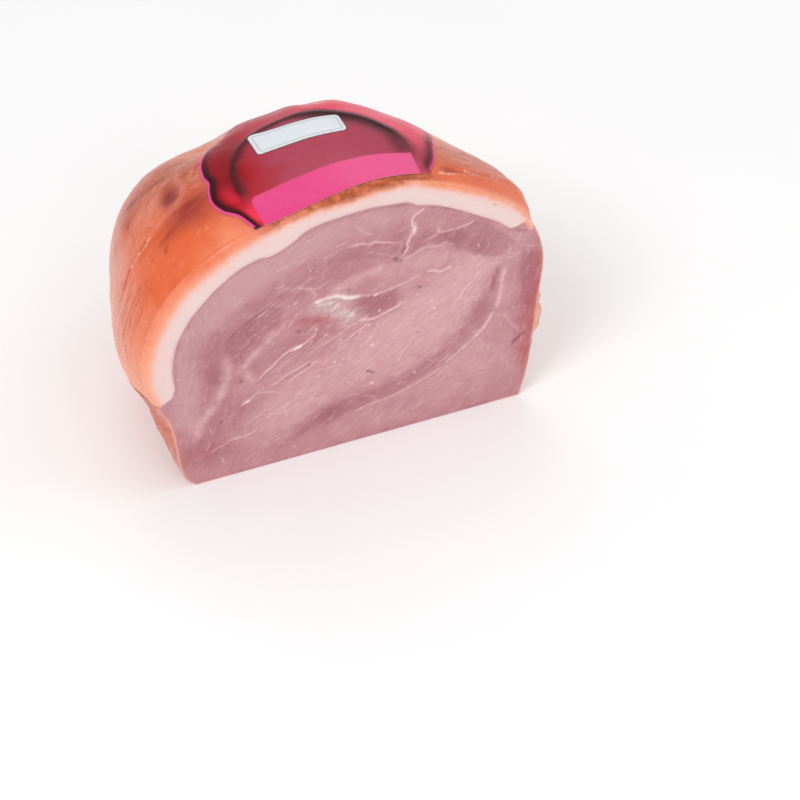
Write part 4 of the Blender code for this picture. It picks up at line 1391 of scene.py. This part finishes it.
def lean_material():
    """Moist cooked meat: tinted by the muscle it belongs to, with fine fibres and wet patches."""
    n = Nodes("moist_lean")
    steep = n.attribute("steep")
    slant, upright = (n.noise(560, 3, 0.55, (math.radians(-turn), 4.0)) for turn in (FIBRE_TURN, STEEP_TURN))
    fibre = n.plus(n.times(slant, n.less(1.0, steep)), n.times(upright, steep))
    grain = n.noise(900, 3, 0.6)
    cell = n.noise(300, 3, 0.55)
    veins = n.times(n.veins(130, 0.030, 0.006), n.remap(n.noise(80, 2, 0.5), 0.50, 0.66))
    base = n.attribute("tint", "Color")
    for share, other in ((n.remap(fibre, 0.46, 0.30, 0, 0.20), (160, 96, 108)),
                         (n.remap(fibre, 0.56, 0.72, 0, 0.24), (232, 188, 190)),
                         (n.remap(cell, 0.56, 0.74, 0, 0.22), (214, 160, 166)),
                         (n.remap(grain, 0.60, 0.74, 0, 0.28), (236, 196, 198)),
                         (n.times(veins, 0.10), (238, 196, 197))):
        base = n.mix(share, base, colour(*other))
    rough = n.plus(n.remap(n.attribute("wet"), 0.1, 0.9, 0.52, 0.26), n.remap(grain, 0.3, 0.7, -0.07, 0.07))
    height = n.plus(n.times(fibre, 0.7), n.times(grain, 0.3))
    return n.finish(base, rough, (height, 0.0005, 0.8), Subsurface_Weight=0.12,
                    Subsurface_Radius=(0.006, 0.002, 0.0015), Subsurface_Scale=0.6,
                    Coat_Weight=0.12, Coat_Roughness=0.22, Specular_IOR_Level=0.45)


def cap_material():
    """Glazed rind over white fat: glossy outside, waxy on the cut, granular where it has browned."""
    n = Nodes("glazed_rind_and_fat")
    gloss, grainy = n.attribute("gloss"), n.attribute("grain")
    pores, streak, spots = n.noise(850, 3, 0.6), n.noise(170, 4, 0.6), n.noise(520, 2, 0.5)
    base = n.attribute("tint", "Color")
    for share, where, other in ((n.remap(streak, 0.50, 0.30, 0, 0.20), gloss, (206, 92, 62)),
                                (n.remap(streak, 0.56, 0.74, 0, 0.16), gloss, (252, 184, 152)),
                                (n.remap(spots, 0.60, 0.72, 0, 0.55), grainy, (150, 84, 66)),
                                (n.remap(spots, 0.5, 0.75, 0, 0.22), n.less(1.0, gloss), (228, 190, 184))):
        base = n.mix(n.times(share, where), base, colour(*other))
    rough = n.plus(n.remap(gloss, 0, 1, 0.46, 0.30), n.remap(pores, 0.3, 0.7, -0.06, 0.08))
    rough = n.plus(rough, n.times(grainy, 0.10))
    height = n.plus(n.times(pores, 0.4), n.times(streak, 0.8))
    height = n.plus(height, n.times(n.times(spots, grainy), 1.2))
    return n.finish(base, rough, (height, 0.0005, 0.7), Subsurface_Weight=0.15,
                    Subsurface_Radius=(0.008, 0.003, 0.002), Subsurface_Scale=0.6,
                    Coat_Weight=0.14, Coat_Roughness=0.20, Specular_IOR_Level=0.38)


def label_material():
    """Printed plastic film with a soft gloss, drawn tight over the rind."""
    n = Nodes("printed_film")
    ink, pull = n.noise(1500, 2, 0.5), n.noise(90, 3, 0.55)
    base = n.mix(n.remap(ink, 0.45, 0.2, 0, 0.10), n.attribute("tint", "Color"), colour(40, 10, 20))
    base = n.mix(n.remap(pull, 0.58, 0.8, 0, 0.05), base, colour(240, 150, 170))
    rough = n.plus(n.remap(pull, 0.3, 0.7, 0.24, 0.34), n.remap(ink, 0.3, 0.7, -0.02, 0.02))
    return n.finish(base, rough, (pull, 0.0010, 0.5), Coat_Weight=0.03, Coat_Roughness=0.14,
                    Specular_IOR_Level=0.12)


def floor_material():
    n = Nodes("pale_floor")
    base = n.mix(n.remap(n.noise(6, 3, 0.5), 0.3, 0.7), (0.94, 0.94, 0.94), (0.96, 0.96, 0.96))
    rough = n.remap(n.noise(30, 2, 0.5), 0.3, 0.7, 0.85, 0.95)
    return n.finish(base, rough, (n.noise(300, 2, 0.5), 0.0002, 0.1), Specular_IOR_Level=0.2)


# The studio

FLOOR_HALF = 6.0
FLOOR_DROP = 0.0002
WORLD_STRENGTH = 0.64
LIGHT_TARGET = (0.0, -0.02, 0.08)
# Name, azimuth, elevation, distance, size, energy
LIGHTS = [("key", -55, 50, 1.7, 0.8, 9.0), ("front", 8, 30, 1.8, 1.2, 3.8),
          ("fill", 75, 40, 1.8, 1.2, 3.6), ("rear", 170, 60, 1.8, 1.0, 4.0)]


def aim(obj, target, azimuth, elevation, distance):
    """Puts an object on that side of a target, facing it. Azimuth 0 is in front, and -90 on the left."""
    a, e = math.radians(azimuth), math.radians(elevation)
    towards = Vector((math.sin(a) * math.cos(e), -math.cos(a) * math.cos(e), math.sin(e)))
    obj.location = Vector(target) + towards * distance
    obj.rotation_mode = "QUATERNION"
    obj.rotation_quaternion = towards.to_track_quat("Z", "Y")


def make_studio():
    scene = bpy.context.scene
    floor_mesh = bpy.data.meshes.new("floor")
    corners = [(x * FLOOR_HALF, y * FLOOR_HALF, 0) for x, y in ((-1, -1), (1, -1), (1, 1), (-1, 1))]
    floor_mesh.from_pydata(corners, [], [(0, 1, 2, 3)])
    floor_mesh.materials.append(floor_material())
    floor = add_object("floor", floor_mesh)
    floor.location = (0, 0, -FLOOR_DROP)
    world = bpy.data.worlds.new("studio")
    world.use_nodes = True
    background = world.node_tree.nodes["Background"]
    background.inputs["Color"].default_value = (1.0, 1.0, 1.0, 1.0)
    background.inputs["Strength"].default_value = WORLD_STRENGTH
    scene.world = world
    for name, azimuth, elevation, distance, size, energy in LIGHTS:
        data = bpy.data.lights.new(name, "AREA")
        data.shape, data.size, data.energy = "DISK", size, energy
        aim(add_object(name, data), LIGHT_TARGET, azimuth, elevation, distance)
    data = bpy.data.cameras.new("camera")
    data.lens, data.sensor_width = CAMERA_LENS, CAMERA_SENSOR
    data.clip_start, data.clip_end = CAMERA_CLIP
    camera = add_object("camera", data)
    aim(camera, Vector(CAMERA_TARGET) * MM, CAMERA_AZIMUTH, CAMERA_ELEVATION, CAMERA_DISTANCE * MM)
    scene.camera = camera
    scene.view_settings.view_transform = "Standard"


make_lean(lean_material())
make_cap(cap_material())
make_label(label_material())
make_studio()
